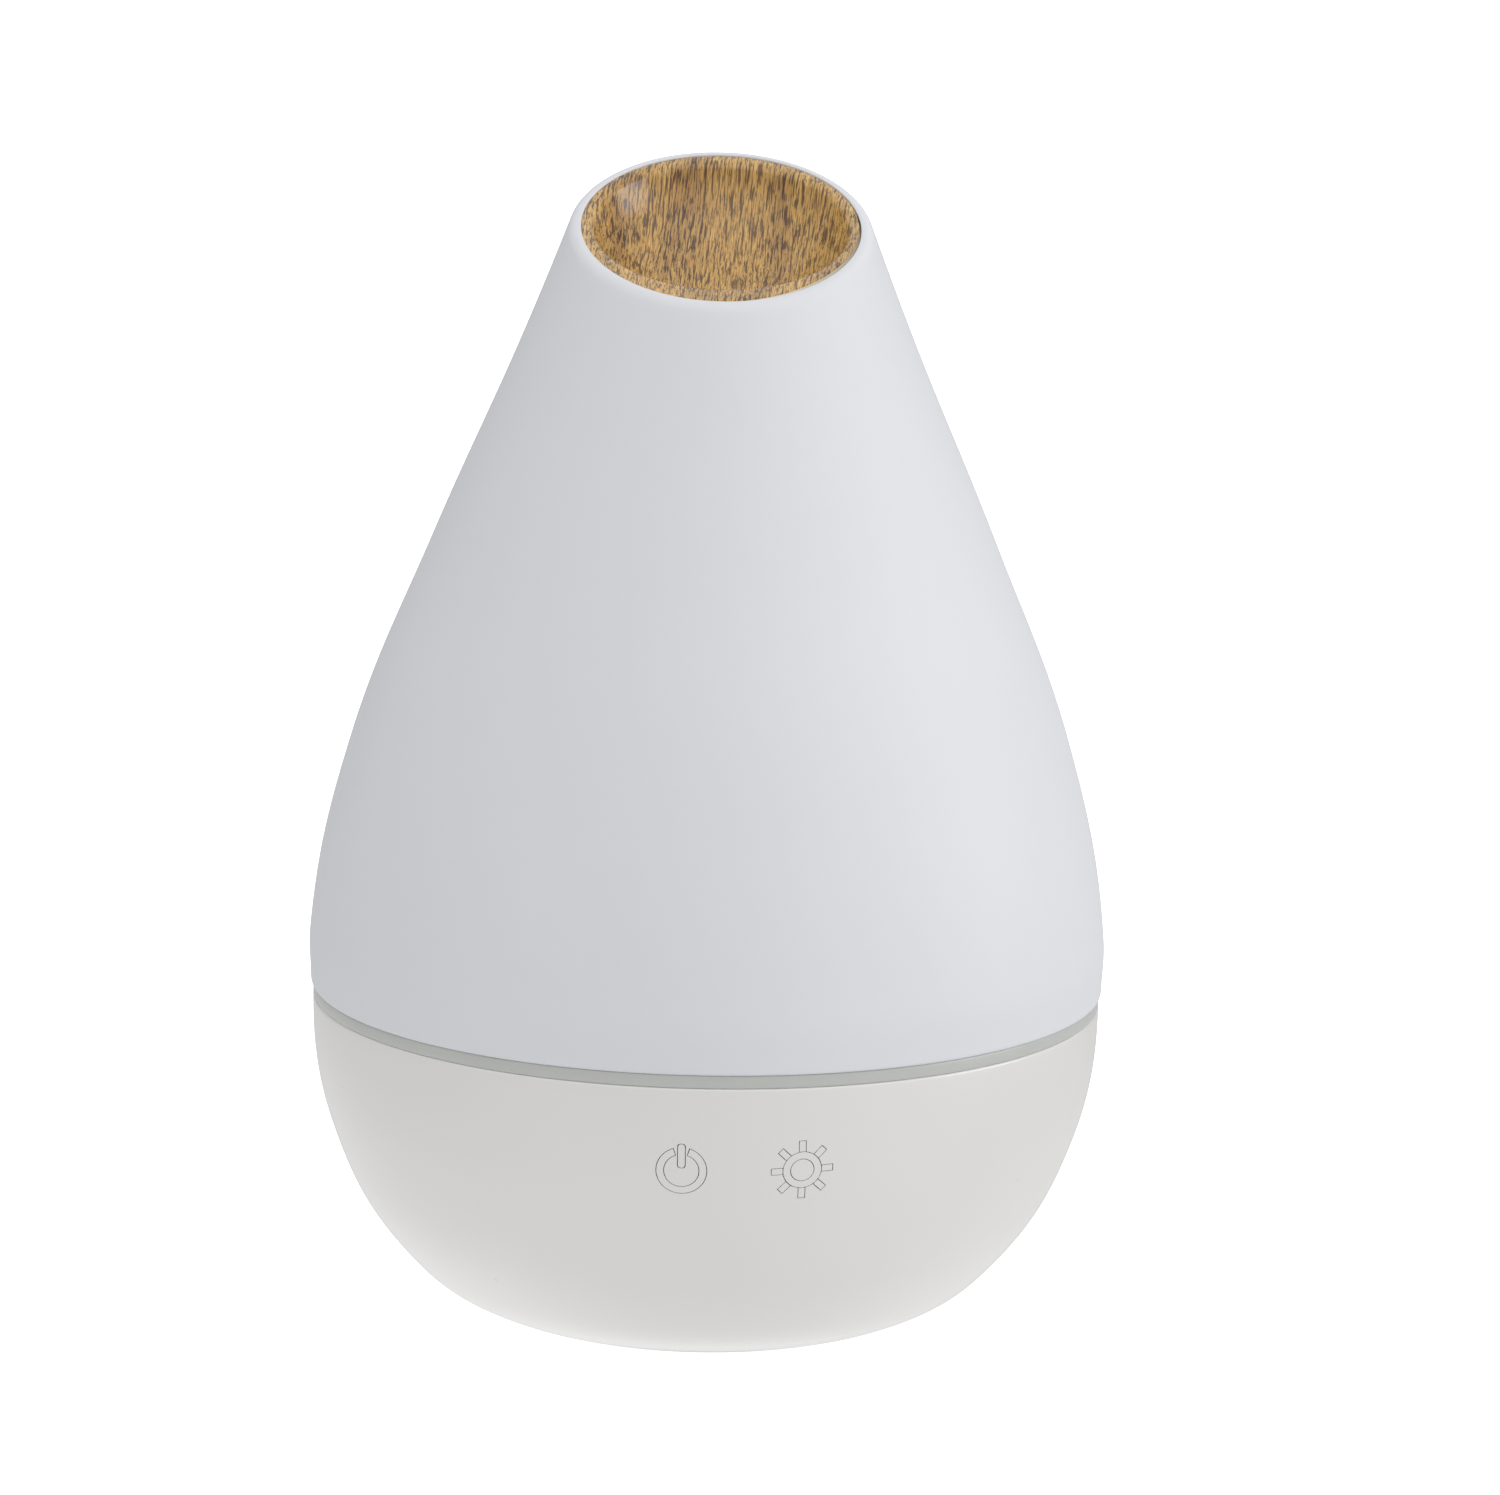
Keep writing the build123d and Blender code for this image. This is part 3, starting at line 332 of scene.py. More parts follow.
# %% [markdown]
# ## Frosted cover
# The cover is injection-moulded in a cool white plastic with a fine spark-eroded texture, which
# scatters light into an even satin. A little light also goes through the wall, so the shader has a
# small constant share of subsurface. The colour drifts very slightly, as it does on real moulding.


# %% Finish of the cover
def frosted_finish():
    finish = Finish("frosted_cover", IOR=1.49)
    finish.shader.inputs["Subsurface Weight"].default_value = 0.12
    finish.shader.inputs["Subsurface Radius"].default_value = (1.0, 1.0, 1.0)
    finish.shader.inputs["Subsurface Scale"].default_value = 2.0 * MM
    finish.shader.inputs["Specular IOR Level"].default_value = 0.4
    place = finish.place()
    drift = finish.noise(place, 0.03, 3.0)
    grain = finish.noise(place, 3.2, 3.0, 0.6)
    finish.set(Base_Color=finish.mix(drift, (0.79, 0.80, 0.84), (0.83, 0.84, 0.875)))
    finish.set(Roughness=0.5 + 0.12 * grain)
    finish.bump(grain, 0.03 * MM, 0.35)
    return finish


# %% Round the edges of a mesh
def bevel_edges(bm, edges, offset, segments):
    """Rounded bevel of some edges."""
    bmesh.ops.bevel(
        bm, geom=edges, offset=offset, offset_type="OFFSET", segments=segments, profile=0.5,
        affect="EDGES", material=-1, clamp_overlap=False,
    )


def on_mouth(point):
    """Whether a point lies on the mouth's plane."""
    return abs(point.z - mouth_z - math.tan(mouth_tilt) * point.y) < 1e-5


# %% Where an outline meets the slanted mouth
def cut_height(line, direction):
    """Height where an outline, turned into a direction, meets the mouth's plane."""
    height = mouth_z
    for _ in range(12):
        height = mouth_z + math.tan(mouth_tilt) * radius_at(line, height) * direction.y
    return height


def reach_mouth(verts, line, start):
    """Slide the rows above a start height along their outline, so that the last lies on the mouth."""
    heights = {}
    for vert in verts:
        if vert.co.z <= start:
            continue
        direction = Vector((vert.co.x, vert.co.y, 0)).normalized()
        key = round(math.atan2(direction.y, direction.x), 4)
        if key not in heights:
            heights[key] = cut_height(line, direction)
        height = start + (vert.co.z - start) / (mouth_z - start) * (heights[key] - start)
        radius = radius_at(line, height)
        vert.co = (direction.x * radius, direction.y * radius, height)


# %% Cover shell
def cover_shell():
    """Closed wall of the cover: two turned skins, led to the mouth, bridged and rounded."""
    start = mouth_z - 27 * MM
    inner_line = inset_line(cover_line, cover_wall)
    between = inset_line(cover_line, cover_wall / 2)
    outside = [p for p in cover_line if p[1] < mouth_z - 1 * MM]
    inside = [p for p in inner_line if seam_z + 1 * MM < p[1] < mouth_z - 1 * MM]
    outside.append((radius_at(cover_line, mouth_z), mouth_z))
    inside = [(inner_line[0][0], seam_z)] + inside + [(radius_at(inner_line, mouth_z), mouth_z)]
    bm = turn_section(outside[::-1] + inside, closed=False)
    upper = [v for v in bm.verts if v.co.z > start]
    outer = [v for v in upper if v.co.xy.length > radius_at(between, v.co.z)]
    inner = [v for v in upper if v.co.xy.length <= radius_at(between, v.co.z)]
    reach_mouth(outer, cover_line, start)
    reach_mouth(inner, inner_line, start)
    rim = [e for e in bm.edges if e.is_boundary]
    bmesh.ops.bridge_loops(bm, edges=rim)
    bmesh.ops.recalc_face_normals(bm, faces=bm.faces[:])
    for line, offset in ((cover_line, 0.95 * MM), (inner_line, 0.25 * MM)):
        corner = [
            e for e in bm.edges
            if all(on_mouth(v.co) and abs(v.co.xy.length - radius_at(line, v.co.z)) < 1e-5 for v in e.verts)
            and e.calc_face_angle(0) > 0.3
        ]
        bevel_edges(bm, corner, offset, 6)
    seam_edges = [
        e for e in bm.edges
        if all(abs(v.co.z - seam_z) < 1e-6 for v in e.verts) and e.calc_face_angle(0) > 0.5
    ]
    bevel_edges(bm, seam_edges, 0.4 * MM, 4)
    bmesh.ops.rotate(bm, verts=bm.verts[:], cent=(0, 0, 0), matrix=Matrix.Rotation(cover_turn, 3, "Z"))
    return bm


cover = make_piece("cover_shell", cover_shell(), "cover", ["upper_cover"])
dress(frosted_finish(), cover)

# %% [markdown]
# ## Wooden dish
# The dish in the mouth is a plastic pressing wrapped in a wood-grain film under clear lacquer. It is
# a bowl turned about its own slanted axis, with a rolled lip and a flange whose outer edge follows
# the cover. The section is turned as a circle first, and the flange is then stretched until its
# rim meets the cover, because a spin alone can only make round rims.

# %% Sizes of the dish
dish_drop = 0.25 * MM
dish_radius = 19.2 * MM
dish_depth = 13.0 * MM
dish_back = -2.4 * MM
dish_wall = 1.6 * MM
dish_lip = 1.5 * MM
skirt_depth = 6.0 * MM
skirt_wall = 1.4 * MM
outlet_radius = 6.0 * MM
sphere_radius = (dish_radius**2 + dish_depth**2) / (2 * dish_depth)
sphere_height = sphere_radius - dish_depth
flange_radius = 24.0 * MM
mouth_place = (
    Matrix.Translation((0, 0, mouth_z)) @ Matrix.Rotation(mouth_tilt, 4, "X")
    @ Matrix.Translation((0, dish_back, -dish_drop))
)
print("dish sphere", round(sphere_radius / MM, 2))


# %% Section of the dish
def dish_section():
    """Closed section: bowl from the middle out, rolled lip, flange, skirt and underside."""
    lip_middle = math.sqrt((sphere_radius + dish_lip) ** 2 - (dish_lip + sphere_height) ** 2)
    meet = math.atan2(lip_middle, sphere_height + dish_lip)
    bowl = [
        (sphere_radius * math.sin(meet * i / 40), sphere_height - sphere_radius * math.cos(meet * i / 40))
        for i in range(41)
    ]
    lip_turns = [meet * (1 - i / 10) for i in range(1, 11)]
    lip = [(lip_middle - dish_lip * math.sin(turn), dish_lip * (math.cos(turn) - 1)) for turn in lip_turns]
    edge = 0.25 * MM
    flange = [(lip_middle + (flange_radius - edge - lip_middle) * i / 4, 0) for i in range(1, 5)]
    corner_turns = [math.pi / 2 * i / 4 for i in range(1, 5)]
    corner = [(flange_radius - edge + edge * math.sin(turn), edge * (math.cos(turn) - 1)) for turn in corner_turns]
    skirt = [(flange_radius, -skirt_depth * i / 4) for i in range(1, 5)]
    back = [
        (flange_radius - skirt_wall, -skirt_depth),
        (flange_radius - skirt_wall, -2.2 * dish_wall),
        (flange_radius - skirt_wall, -dish_wall),
        (lip_middle, -dish_wall),
    ]
    under = sphere_radius + dish_wall
    start = math.acos((sphere_height + dish_wall) / under)
    under_bowl = [
        (under * math.sin(start * (1 - i / 24)), sphere_height - under * math.cos(start * (1 - i / 24)))
        for i in range(25)
    ]
    return bowl + lip + flange + corner + skirt + back + under_bowl, lip_middle


def dish_play(direction):
    """Gap round the dish: it has been pushed up the slope, so the gap opens at the front right."""
    facing = direction.angle(Vector((math.sin(0.7), -math.cos(0.7), 0)))
    return 0.04 * MM + 0.8 * MM * max(0.0, math.cos(facing)) ** 3


def skin_reach(direction, height, skin):
    """How far an inner skin is from the dish's axis, in one direction at one depth."""
    near, far = 10 * MM, 40 * MM
    for _ in range(30):
        middle = (near + far) / 2
        point = mouth_place @ Vector((direction.x * middle, direction.y * middle, height))
        if math.hypot(point.x, point.y) < radius_at(skin, point.z):
            near = middle
        else:
            far = middle
    return near


def wood_dish():
    """The turned dish, its flange stretched to the cover and its outlet bored upright."""
    section, lip_middle = dish_section()
    bm = turn_section(section, closed=True, count=192)
    film = bm.verts.layers.float.new("film")
    reach = {}
    for vert in bm.verts:
        radius = math.hypot(vert.co.x, vert.co.y)
        if radius > lip_middle + 1e-6 and vert.co.z > -skirt_depth - 1e-6:
            direction = Vector((vert.co.x, vert.co.y, 0)) / radius
            key = (round(math.atan2(direction.y, direction.x), 4), round(vert.co.z, 6))
            if key not in reach:
                skin = inset_line(cover_line, cover_wall + dish_play(direction))
                reach[key] = skin_reach(direction, vert.co.z, skin)
            share = (radius - lip_middle) / (flange_radius - lip_middle)
            stretched = lip_middle + share * (reach[key] - lip_middle)
            vert.co.x, vert.co.y = direction.x * stretched, direction.y * stretched
            vert[film] = 1.0 if radius < flange_radius - 0.05 * MM and vert.co.z > -0.3 * MM else 0.0
        else:
            vert[film] = 1.0
    bmesh.ops.transform(bm, matrix=mouth_place, verts=bm.verts[:])
    return bm


def bored(piece, cutters, operation="DIFFERENCE"):
    """Run an exact boolean of a piece with cutters, and keep the result as the piece's mesh."""
    for bm in cutters:
        mesh = bpy.data.meshes.new("cutter")
        bm.to_mesh(mesh)
        bm.free()
        cutter = bpy.data.objects.new("cutter", mesh)
        bpy.context.scene.collection.objects.link(cutter)
        modifier = piece.modifiers.new("cut", "BOOLEAN")
        modifier.operation = operation
        modifier.solver = "EXACT"
        modifier.use_self = True
        modifier.object = cutter
        bpy.context.view_layer.update()
        graph = bpy.context.evaluated_depsgraph_get()
        result = bpy.data.meshes.new_from_object(piece.evaluated_get(graph))
        piece.modifiers.clear()
        old = piece.data
        piece.data = result
        bpy.data.meshes.remove(old)
        bpy.data.objects.remove(cutter)
        bpy.data.meshes.remove(mesh)
    piece.data.shade_smooth()
    piece.data.set_sharp_from_angle(angle=math.radians(35))
    return piece


def upright(radius, low, high, x=0.0, y=0.0, count=64):
    """Closed upright cylinder as a bmesh."""
    bm = bmesh.new()
    place = Matrix.Translation((x, y, (low + high) / 2))
    bmesh.ops.create_cone(
        bm, cap_ends=True, segments=count, radius1=radius, radius2=radius, depth=high - low, matrix=place
    )
    return bm


outlet = mouth_place @ Vector((0, 0, sphere_height))
outlet_low = outlet.z - sphere_radius
dish = make_piece("dish_insert", wood_dish(), "cover", ["wood_dish"])
neck = upright(outlet_radius + 1.4 * MM, outlet_low - 7.0 * MM, outlet_low + 1.2 * MM, 0, outlet.y)
bored(dish, [neck], "UNION")
bored(dish, [upright(outlet_radius, outlet_low - 20 * MM, outlet_low + 10 * MM, 0, outlet.y)])
turn_with_cover = Matrix.Rotation(cover_turn, 4, "Z")
dish.data.transform(turn_with_cover)


# %% Finish of the dish
def wood_finish():
    """Golden brown film with fine dark pores, broad figure and clear lacquer."""
    finish = Finish("wood_grain_film", IOR=1.5)
    finish.shader.inputs["Coat Roughness"].default_value = 0.2
    finish.shader.inputs["Specular IOR Level"].default_value = 0.4
    middle = mouth_place @ Vector((0, 0, 0))
    flat = finish.laid(tuple(middle), (-mouth_tilt, 0, -cover_turn + math.radians(5)))
    sway = finish.noise(finish.stretched(flat, (0.12, 0.05, 0)), 1.0, 2.0) * 2.4
    shifted = finish.shifted(flat, sway)
    pores = finish.noise(finish.stretched(shifted, (3.1, 0.34, 0)), 1.0, 3.0, 0.62)
    short = finish.noise(finish.stretched(shifted, (4.6, 0.75, 0)), 1.0, 2.0, 0.6)
    fibre = finish.noise(finish.stretched(shifted, (7.5, 0.35, 0)), 1.0, 2.0, 0.6)
    band = finish.noise(finish.stretched(shifted, (0.17, 0.02, 0)), 1.0, 2.0, 0.5)
    warm = finish.mix(fibre.above(0.34, 0.34), (0.55, 0.285, 0.07), (0.92, 0.60, 0.18))
    warm = finish.mix(band.above(0.46, 0.22) * 0.55, warm, (0.33, 0.16, 0.045))
    dark = pores.above(0.50, 0.07).maths("MAXIMUM", pores.above(0.50, 0.07), short.above(0.56, 0.06) * 0.85)
    depth = 0.8 + 0.18 * band.above(0.4, 0.3)
    warm = finish.mix(dark * depth, warm, (0.06, 0.022, 0.008))
    film = finish.node("ShaderNodeAttribute", {"attribute_name": "film"}, {}, out=2)
    finish.set(Base_Color=finish.mix(film, (0.82, 0.74, 0.58), warm))
    finish.set(Roughness=0.34 + 0.12 * fibre, Coat_Weight=0.85 + 0.1 * band)
    finish.bump(1 - dark, 0.02 * MM, 0.4)
    return finish


dress(wood_finish(), dish)

# %% [markdown]
# ## Bowl
# The base is a glossy warm white bowl. Its section is a closed wall, turned once, with the rounded
# top edge in the section itself. The two touch icons are thin inlays: their pockets are cut
# a hair wider than the inlays, and that gap is the fine line that draws each icon.

# %% Bowl shell
plate_radius = 33.5 * MM
plate_step = 1.2 * MM
plate_lap = 3.0 * MM


def bowl_section():
    """Closed section of the bowl's wall, from the rebate of the bottom plate round to it again."""
    inner_line = [p for p in inset_line(bowl_line, base_wall) if p[1] > bowl_low + base_wall]
    outside = bowl_line[:-1] + [(base_radius, bowl_top)]
    top = len(outside) - 1
    inner_line[-1] = (base_radius - base_wall, bowl_top)
    section = outside + inner_line[::-1]
    section += [
        (inner_line[0][0] - 0.5 * MM, bowl_low + base_wall),
        (plate_radius - plate_lap, bowl_low + base_wall),
        (plate_radius - plate_lap, bowl_low + plate_step),
        (plate_radius, bowl_low + plate_step),
        (plate_radius, bowl_low),
    ]
    return fillet_corner(section, top, 0.35 * MM)


bowl = make_piece("bowl_shell", turn_section(bowl_section(), count=384), "base", ["base_shell"])

# %% [markdown]
# ## Touch icons
# Each icon is drawn flat, X across and Y up, as bars and rings with some height, and is then laid
# on the bowl. A slightly wider copy cuts the pocket, and the icon itself is cut out of a slice of
# the bowl's own wall, so that its face carries on the bowl's curve. Only the gap is seen.

# %% Sizes of the icons
icon_z = 34.8 * MM
icon_angle = math.radians(8.6)
icon_gap = 0.12 * MM
icon_deep = 1.3 * MM
stroke = 1.0 * MM
power_ring = 3.6 * MM
power_opening = math.radians(20.0)
power_bar = (0.5 * MM, 4.1 * MM)
sun_ring = 2.8 * MM
sun_reach = 4.5 * MM
sun_rays = 8
sun_turn = math.radians(2.5)
ray_width = 0.9 * MM


def icon_place(angle):
    """Matrix that lays a flat drawing on the bowl's front, with its Z pointing out."""
    step = 2 * MM
    lean = math.atan2(radius_at(bowl_line, icon_z + step) - radius_at(bowl_line, icon_z - step), 2 * step)
    out = Matrix.Translation((0, -radius_at(bowl_line, icon_z), icon_z))
    return Matrix.Rotation(angle, 4, "Z") @ out @ Matrix.Rotation(math.pi / 2 + lean, 4, "X")


# %% Rings and bars
def ring_of(inner, outer, deep, opening=0.0):
    """Ring about Z, from -deep to deep, with an opening of twice an angle at its top."""
    bm = bmesh.new()
    corners = ((inner, -deep), (outer, -deep), (outer, deep), (inner, deep))
    verts = [bm.verts.new((x, 0, z)) for x, z in corners]
    edges = [bm.edges.new(pair) for pair in zip(verts, verts[1:] + verts[:1])]
    bmesh.ops.spin(
        bm, geom=verts + edges, cent=(0, 0, 0), axis=(0, 0, 1), angle=math.tau - 2 * opening,
        steps=72, use_merge=opening == 0,
    )
    bmesh.ops.remove_doubles(bm, verts=bm.verts[:], dist=1e-7)
    bmesh.ops.holes_fill(bm, edges=[e for e in bm.edges if e.is_boundary])
    turn = Matrix.Rotation(math.pi / 2 + opening, 3, "Z")
    bmesh.ops.rotate(bm, verts=bm.verts[:], cent=(0, 0, 0), matrix=turn)
    bmesh.ops.recalc_face_normals(bm, faces=bm.faces[:])
    return bm


def bar_of(bm, width, low, high, deep, turn=0.0, ends=0.0):
    """Add a bar along Y to a mesh, from low to high, with rounded ends, turned about Z."""
    place = Matrix.Translation((0, (low + high) / 2, 0)) @ Matrix.Diagonal((width, high - low, 2 * deep, 1))
    made = bmesh.ops.create_cube(bm, size=1.0, matrix=place)["verts"]
    if ends:
        joined = {e for v in made for e in v.link_edges}
        upright_edges = [e for e in joined if abs((e.verts[0].co - e.verts[1].co).z) > deep]
        made = bmesh.ops.bevel(
            bm, geom=upright_edges, offset=ends, offset_type="OFFSET", segments=6, profile=0.5,
            affect="EDGES", material=-1,
        )
        slack = 1e-7
        made = [
            v for v in bm.verts
            if low - slack <= v.co.y <= high + slack and abs(v.co.x) <= width / 2 + slack
        ]
    bmesh.ops.rotate(bm, verts=made, cent=(0, 0, 0), matrix=Matrix.Rotation(turn, 3, "Z"))
    return bm


def power_drawing(grow, deep):
    """Open ring and a bar; grow widens every stroke."""
    middle = power_ring - stroke / 2
    opening = power_opening - grow / middle
    bm = ring_of(power_ring - stroke - grow, power_ring + grow, deep, opening)
    low, high = power_bar
    bar = bar_of(bmesh.new(), stroke + 2 * grow, low - grow, high + grow, deep, 0.0, 0.45 * stroke)
    return added(bm, bar)


def sun_drawing(grow, deep):
    """Ring and eight rays; grow widens every stroke."""
    bm = ring_of(sun_ring - stroke - grow, sun_ring + grow, deep)
    for i in range(sun_rays):
        turn = sun_turn + math.tau * i / sun_rays
        start = sun_ring + icon_gap - grow
        bm = added(bm, bar_of(bmesh.new(), ray_width + 2 * grow, start, sun_reach + grow, deep, turn))
    return bm


def added(bm, other):
    """One mesh with the pieces of two."""
    mesh = bpy.data.meshes.new("added")
    other.to_mesh(mesh)
    other.free()
    bm.from_mesh(mesh)
    bpy.data.meshes.remove(mesh)
    return bm


# %% A slice of the bowl's front wall
def front_slice():
    """Slice of the bowl's wall behind the icons, a little deeper than their pockets."""
    low, high = icon_z - 8 * MM, icon_z + 8 * MM
    outside = [p for p in bowl_line if low < p[1] < high]
    back = [p for p in inset_line(bowl_line, icon_deep) if low < p[1] < high]
    bm = bmesh.new()
    verts = [bm.verts.new((radius, 0, height)) for radius, height in outside + back[::-1]]
    edges = [bm.edges.new(pair) for pair in zip(verts, verts[1:] + verts[:1])]
    sweep = math.tau * 50 / 384
    bmesh.ops.spin(bm, geom=verts + edges, cent=(0, 0, 0), axis=(0, 0, 1), angle=sweep, steps=50)
    bmesh.ops.holes_fill(bm, edges=[e for e in bm.edges if e.is_boundary])
    turn = Matrix.Rotation(-math.pi / 2 - sweep / 2, 3, "Z")
    bmesh.ops.rotate(bm, verts=bm.verts[:], cent=(0, 0, 0), matrix=turn)
    bmesh.ops.recalc_face_normals(bm, faces=bm.faces[:])
    return bm


# %% Pockets and inlays
inlays = []
for name, node, drawing, angle in (
    ("power_inlay", "power_icon", power_drawing, -icon_angle),
    ("light_inlay", "light_icon", sun_drawing, icon_angle),
):
    pocket = drawing(icon_gap, icon_deep)
    bmesh.ops.transform(pocket, matrix=icon_place(angle), verts=pocket.verts[:])
    bored(bowl, [pocket])
    solid = drawing(0.0, 2 * icon_deep)
    bmesh.ops.transform(solid, matrix=icon_place(angle), verts=solid.verts[:])
    inlay = make_piece(name, front_slice(), "base", [node])
    bored(inlay, [solid], "INTERSECT")
    inlays.append(inlay)
    print(name, len(inlay.data.polygons), "faces; bowl", len(bowl.data.polygons), "faces")

# %% [markdown]
# ## Plug well
# At the back a short round well leads through the wall to the power inlet. Its tube is trimmed to
# lie inside the bowl's own wall, joined to it, and then bored through.

# %% Plug well
jack_z = 14.5 * MM
jack_face = 41.0 * MM
well_radius = 5.2 * MM
well_wall = 1.8 * MM


def along_y(radius, start, end):
    """Closed round rod along Y at the inlet's height."""
    bm = upright(radius, start, end)
    turn = Matrix.Translation((0, 0, jack_z)) @ Matrix.Rotation(-math.pi / 2, 4, "X")
    bmesh.ops.transform(bm, matrix=turn, verts=bm.verts[:])
    return bm


def trimmed_well():
    """The well's tube, cut to the shape of the bowl just under its surface."""
    mesh = bpy.data.meshes.new("well")
    rod = along_y(well_radius + well_wall, jack_face, body_radius)
    rod.to_mesh(mesh)
    rod.free()
    well = bpy.data.objects.new("well", mesh)
    bpy.context.scene.collection.objects.link(well)
    skin = [p for p in inset_line(bowl_line, 1.0 * MM) if p[1] > bowl_low]
    solid = turn_section([(0, skin[0][1])] + skin + [(0, skin[-1][1])], closed=False)
    bored(well, [solid], "INTERSECT")
    bm = bmesh.new()
    bm.from_mesh(well.data)
    bpy.data.objects.remove(well)
    return bm


bored(bowl, [trimmed_well()], "UNION")
bored(bowl, [along_y(well_radius, jack_face - 1 * MM, body_radius + 5 * MM)])
print("bowl with its well", len(bowl.data.polygons), "faces")


# %% Finish of the bowl
def bowl_finish():
    finish = Finish("gloss_bowl", IOR=1.5)
    finish.shader.inputs["Coat Roughness"].default_value = 0.08
    place = finish.place()
    drift = finish.noise(place, 0.025, 2.0)
    skin = finish.noise(place, 0.35, 2.0)
    finish.set(Base_Color=finish.mix(drift, (0.84, 0.825, 0.81), (0.88, 0.87, 0.855)))
    finish.set(Roughness=0.26 + 0.06 * skin, Coat_Weight=0.35 + 0.1 * drift)
    finish.bump(skin, 0.02 * MM, 0.15)
    return finish


dress(bowl_finish(), bowl, *inlays)

# %% [markdown]
# ## Water tank
# The tank hangs in the bowl by a flange, whose edge is the narrow grey-green band under the cover.
# It is moulded in a milky resin. The section runs along the flange, up the low spigot that centres
# the cover, and down into the cup, whose floor is round at its edge.

# %% Tank shell
tank_gap = 1.2 * MM
tank_wall = 1.8 * MM
tank_floor = 26.0 * MM
tank_fillet = 6.0 * MM
spigot_radius = seam_radius - cover_wall - 0.4 * MM
spigot_wall = 1.8 * MM
spigot_height = 6.0 * MM
disc_y = -15.0 * MM
disc_face = 8.0 * MM
tower_y = 21.0 * MM
tower_bore = 6.6 * MM
tower_outer = 8.2 * MM
tower_top = 58.0 * MM
post_places = [(x * MM, y * MM) for x in (-22.5, 22.5) for y in (-15, 15)]
post_radius = 3.2 * MM
post_low = 5.2 * MM
seal_radius = 11.3 * MM
seal_pocket = (13.3 * MM, 6.2 * MM)
under_floor = tank_floor - 0.9 * MM


def tank_section():
    """Closed section of the tank's cup, flange and spigot."""
    outer_line = inset_line(bowl_line, base_wall + tank_gap)
    inner_line = inset_line(bowl_line, base_wall + tank_gap + tank_wall)
    outer = [p for p in outer_line if p[1] > tank_floor + 4 * MM]
    inner = [p for p in inner_line if p[1] > tank_floor + 4 * MM]
    under = tank_floor - tank_wall
    foot_out = radius_at(outer_line, under)
    foot_in = radius_at(inner_line, tank_floor)
    section = [(0, under), (foot_out, under)] + outer[:-1]
    section += [(outer[-1][0], bowl_top), (base_radius, bowl_top), (base_radius, seam_z)]
    edge = len(section) - 1
    spigot_inner, spigot_top = spigot_radius - spigot_wall, seam_z + spigot_height
    section += [(spigot_radius, seam_z), (spigot_radius, spigot_top)]
    section += [(spigot_inner, spigot_top), (spigot_inner, seam_z - 0.6 * MM)]
    section += inner[:-1][::-1]
    section += [(foot_in, tank_floor), (0, tank_floor)]
    floor_edge = len(section) - 2
    section = fillet_corner(section, floor_edge, tank_fillet - tank_wall, 8)
    for index, radius in ((edge + 3, 0.5), (edge + 2, 0.5), (edge, 0.35), (edge - 1, 0.35)):
        section = fillet_corner(section, index, radius * MM, 4)
    return fillet_corner(section, 1, tank_fillet, 8)


tank = make_piece("tank_shell", turn_section(tank_section(), closed=False), "base", ["water_tank"])
pocket = upright(seal_pocket[0], tank_floor - seal_pocket[1], under_floor, 0, disc_y)
for x, y in post_places:
    pocket = added(pocket, upright(post_radius, post_low, under_floor, x, y, 32))
bored(tank, [pocket], "UNION")
holes = added(upright(tower_outer, 0, 0.1, 0, tower_y), upright(disc_face, 0, 0.1, 0, disc_y))
bored(tank, [holes, upright(seal_radius, 0, tank_floor - tank_wall, 0, disc_y)])


# %% Air tower
def tower_tube():
    """Tube with both ends of its wall made round."""
    low, high = tank_floor - tank_wall - 1 * MM, tower_top
    section = [(tower_bore, low), (tower_outer, low), (tower_outer, high), (tower_bore, high)]
    section = fillet_corner(section, 3, 0.5 * MM, 5)
    section = fillet_corner(section, 2, 0.5 * MM, 5)
    bm = turn_section(section, count=96)
    bmesh.ops.translate(bm, verts=bm.verts[:], vec=(0, tower_y, 0))
    return bm


tower = make_piece("tower_tube", tower_tube(), "base", ["air_tower"])


# %% Splash cap
cap_low = tower_top - 4.0 * MM
cap_height = 9.0 * MM
cap_window = (7.0 * MM, 3.6 * MM)
window_count = 3


def splash_cap():
    """Upturned cup over the tower, with a round shoulder."""
    inner, outer = tower_outer + 0.05 * MM, tower_outer + 1.05 * MM
    low, high = cap_low, cap_low + cap_height
    roof = high - 1 * MM
    section = [(0, roof), (inner, roof), (inner, low), (outer, low), (outer, high), (0, high)]
    section = fillet_corner(section, 4, 0.85 * MM, 6)
    section = fillet_corner(section, 3, 0.3 * MM, 3)
    bm = turn_section(section, closed=False, count=96)
    bmesh.ops.translate(bm, verts=bm.verts[:], vec=(0, tower_y, 0))
    return bm


cap = make_piece("splash_cap", splash_cap(), "base", ["air_cap"])
windows = bmesh.new()
for i in range(window_count):
    turn = math.pi + math.tau * i / window_count
    windows = added(windows, bar_of(bmesh.new(), cap_window[0], 0.0, 12.0 * MM, cap_window[1] / 2, turn))
window_z = tower_top + 0.3 * MM + cap_window[1] / 2
bmesh.ops.translate(windows, verts=windows.verts[:], vec=(0, tower_y, window_z))
bored(cap, [windows])


# %% Mist duct
duct_bore = 7.45 * MM
duct_wall = 1.3 * MM
duct_length = 26.0 * MM
duct_flare = 3.0 * MM


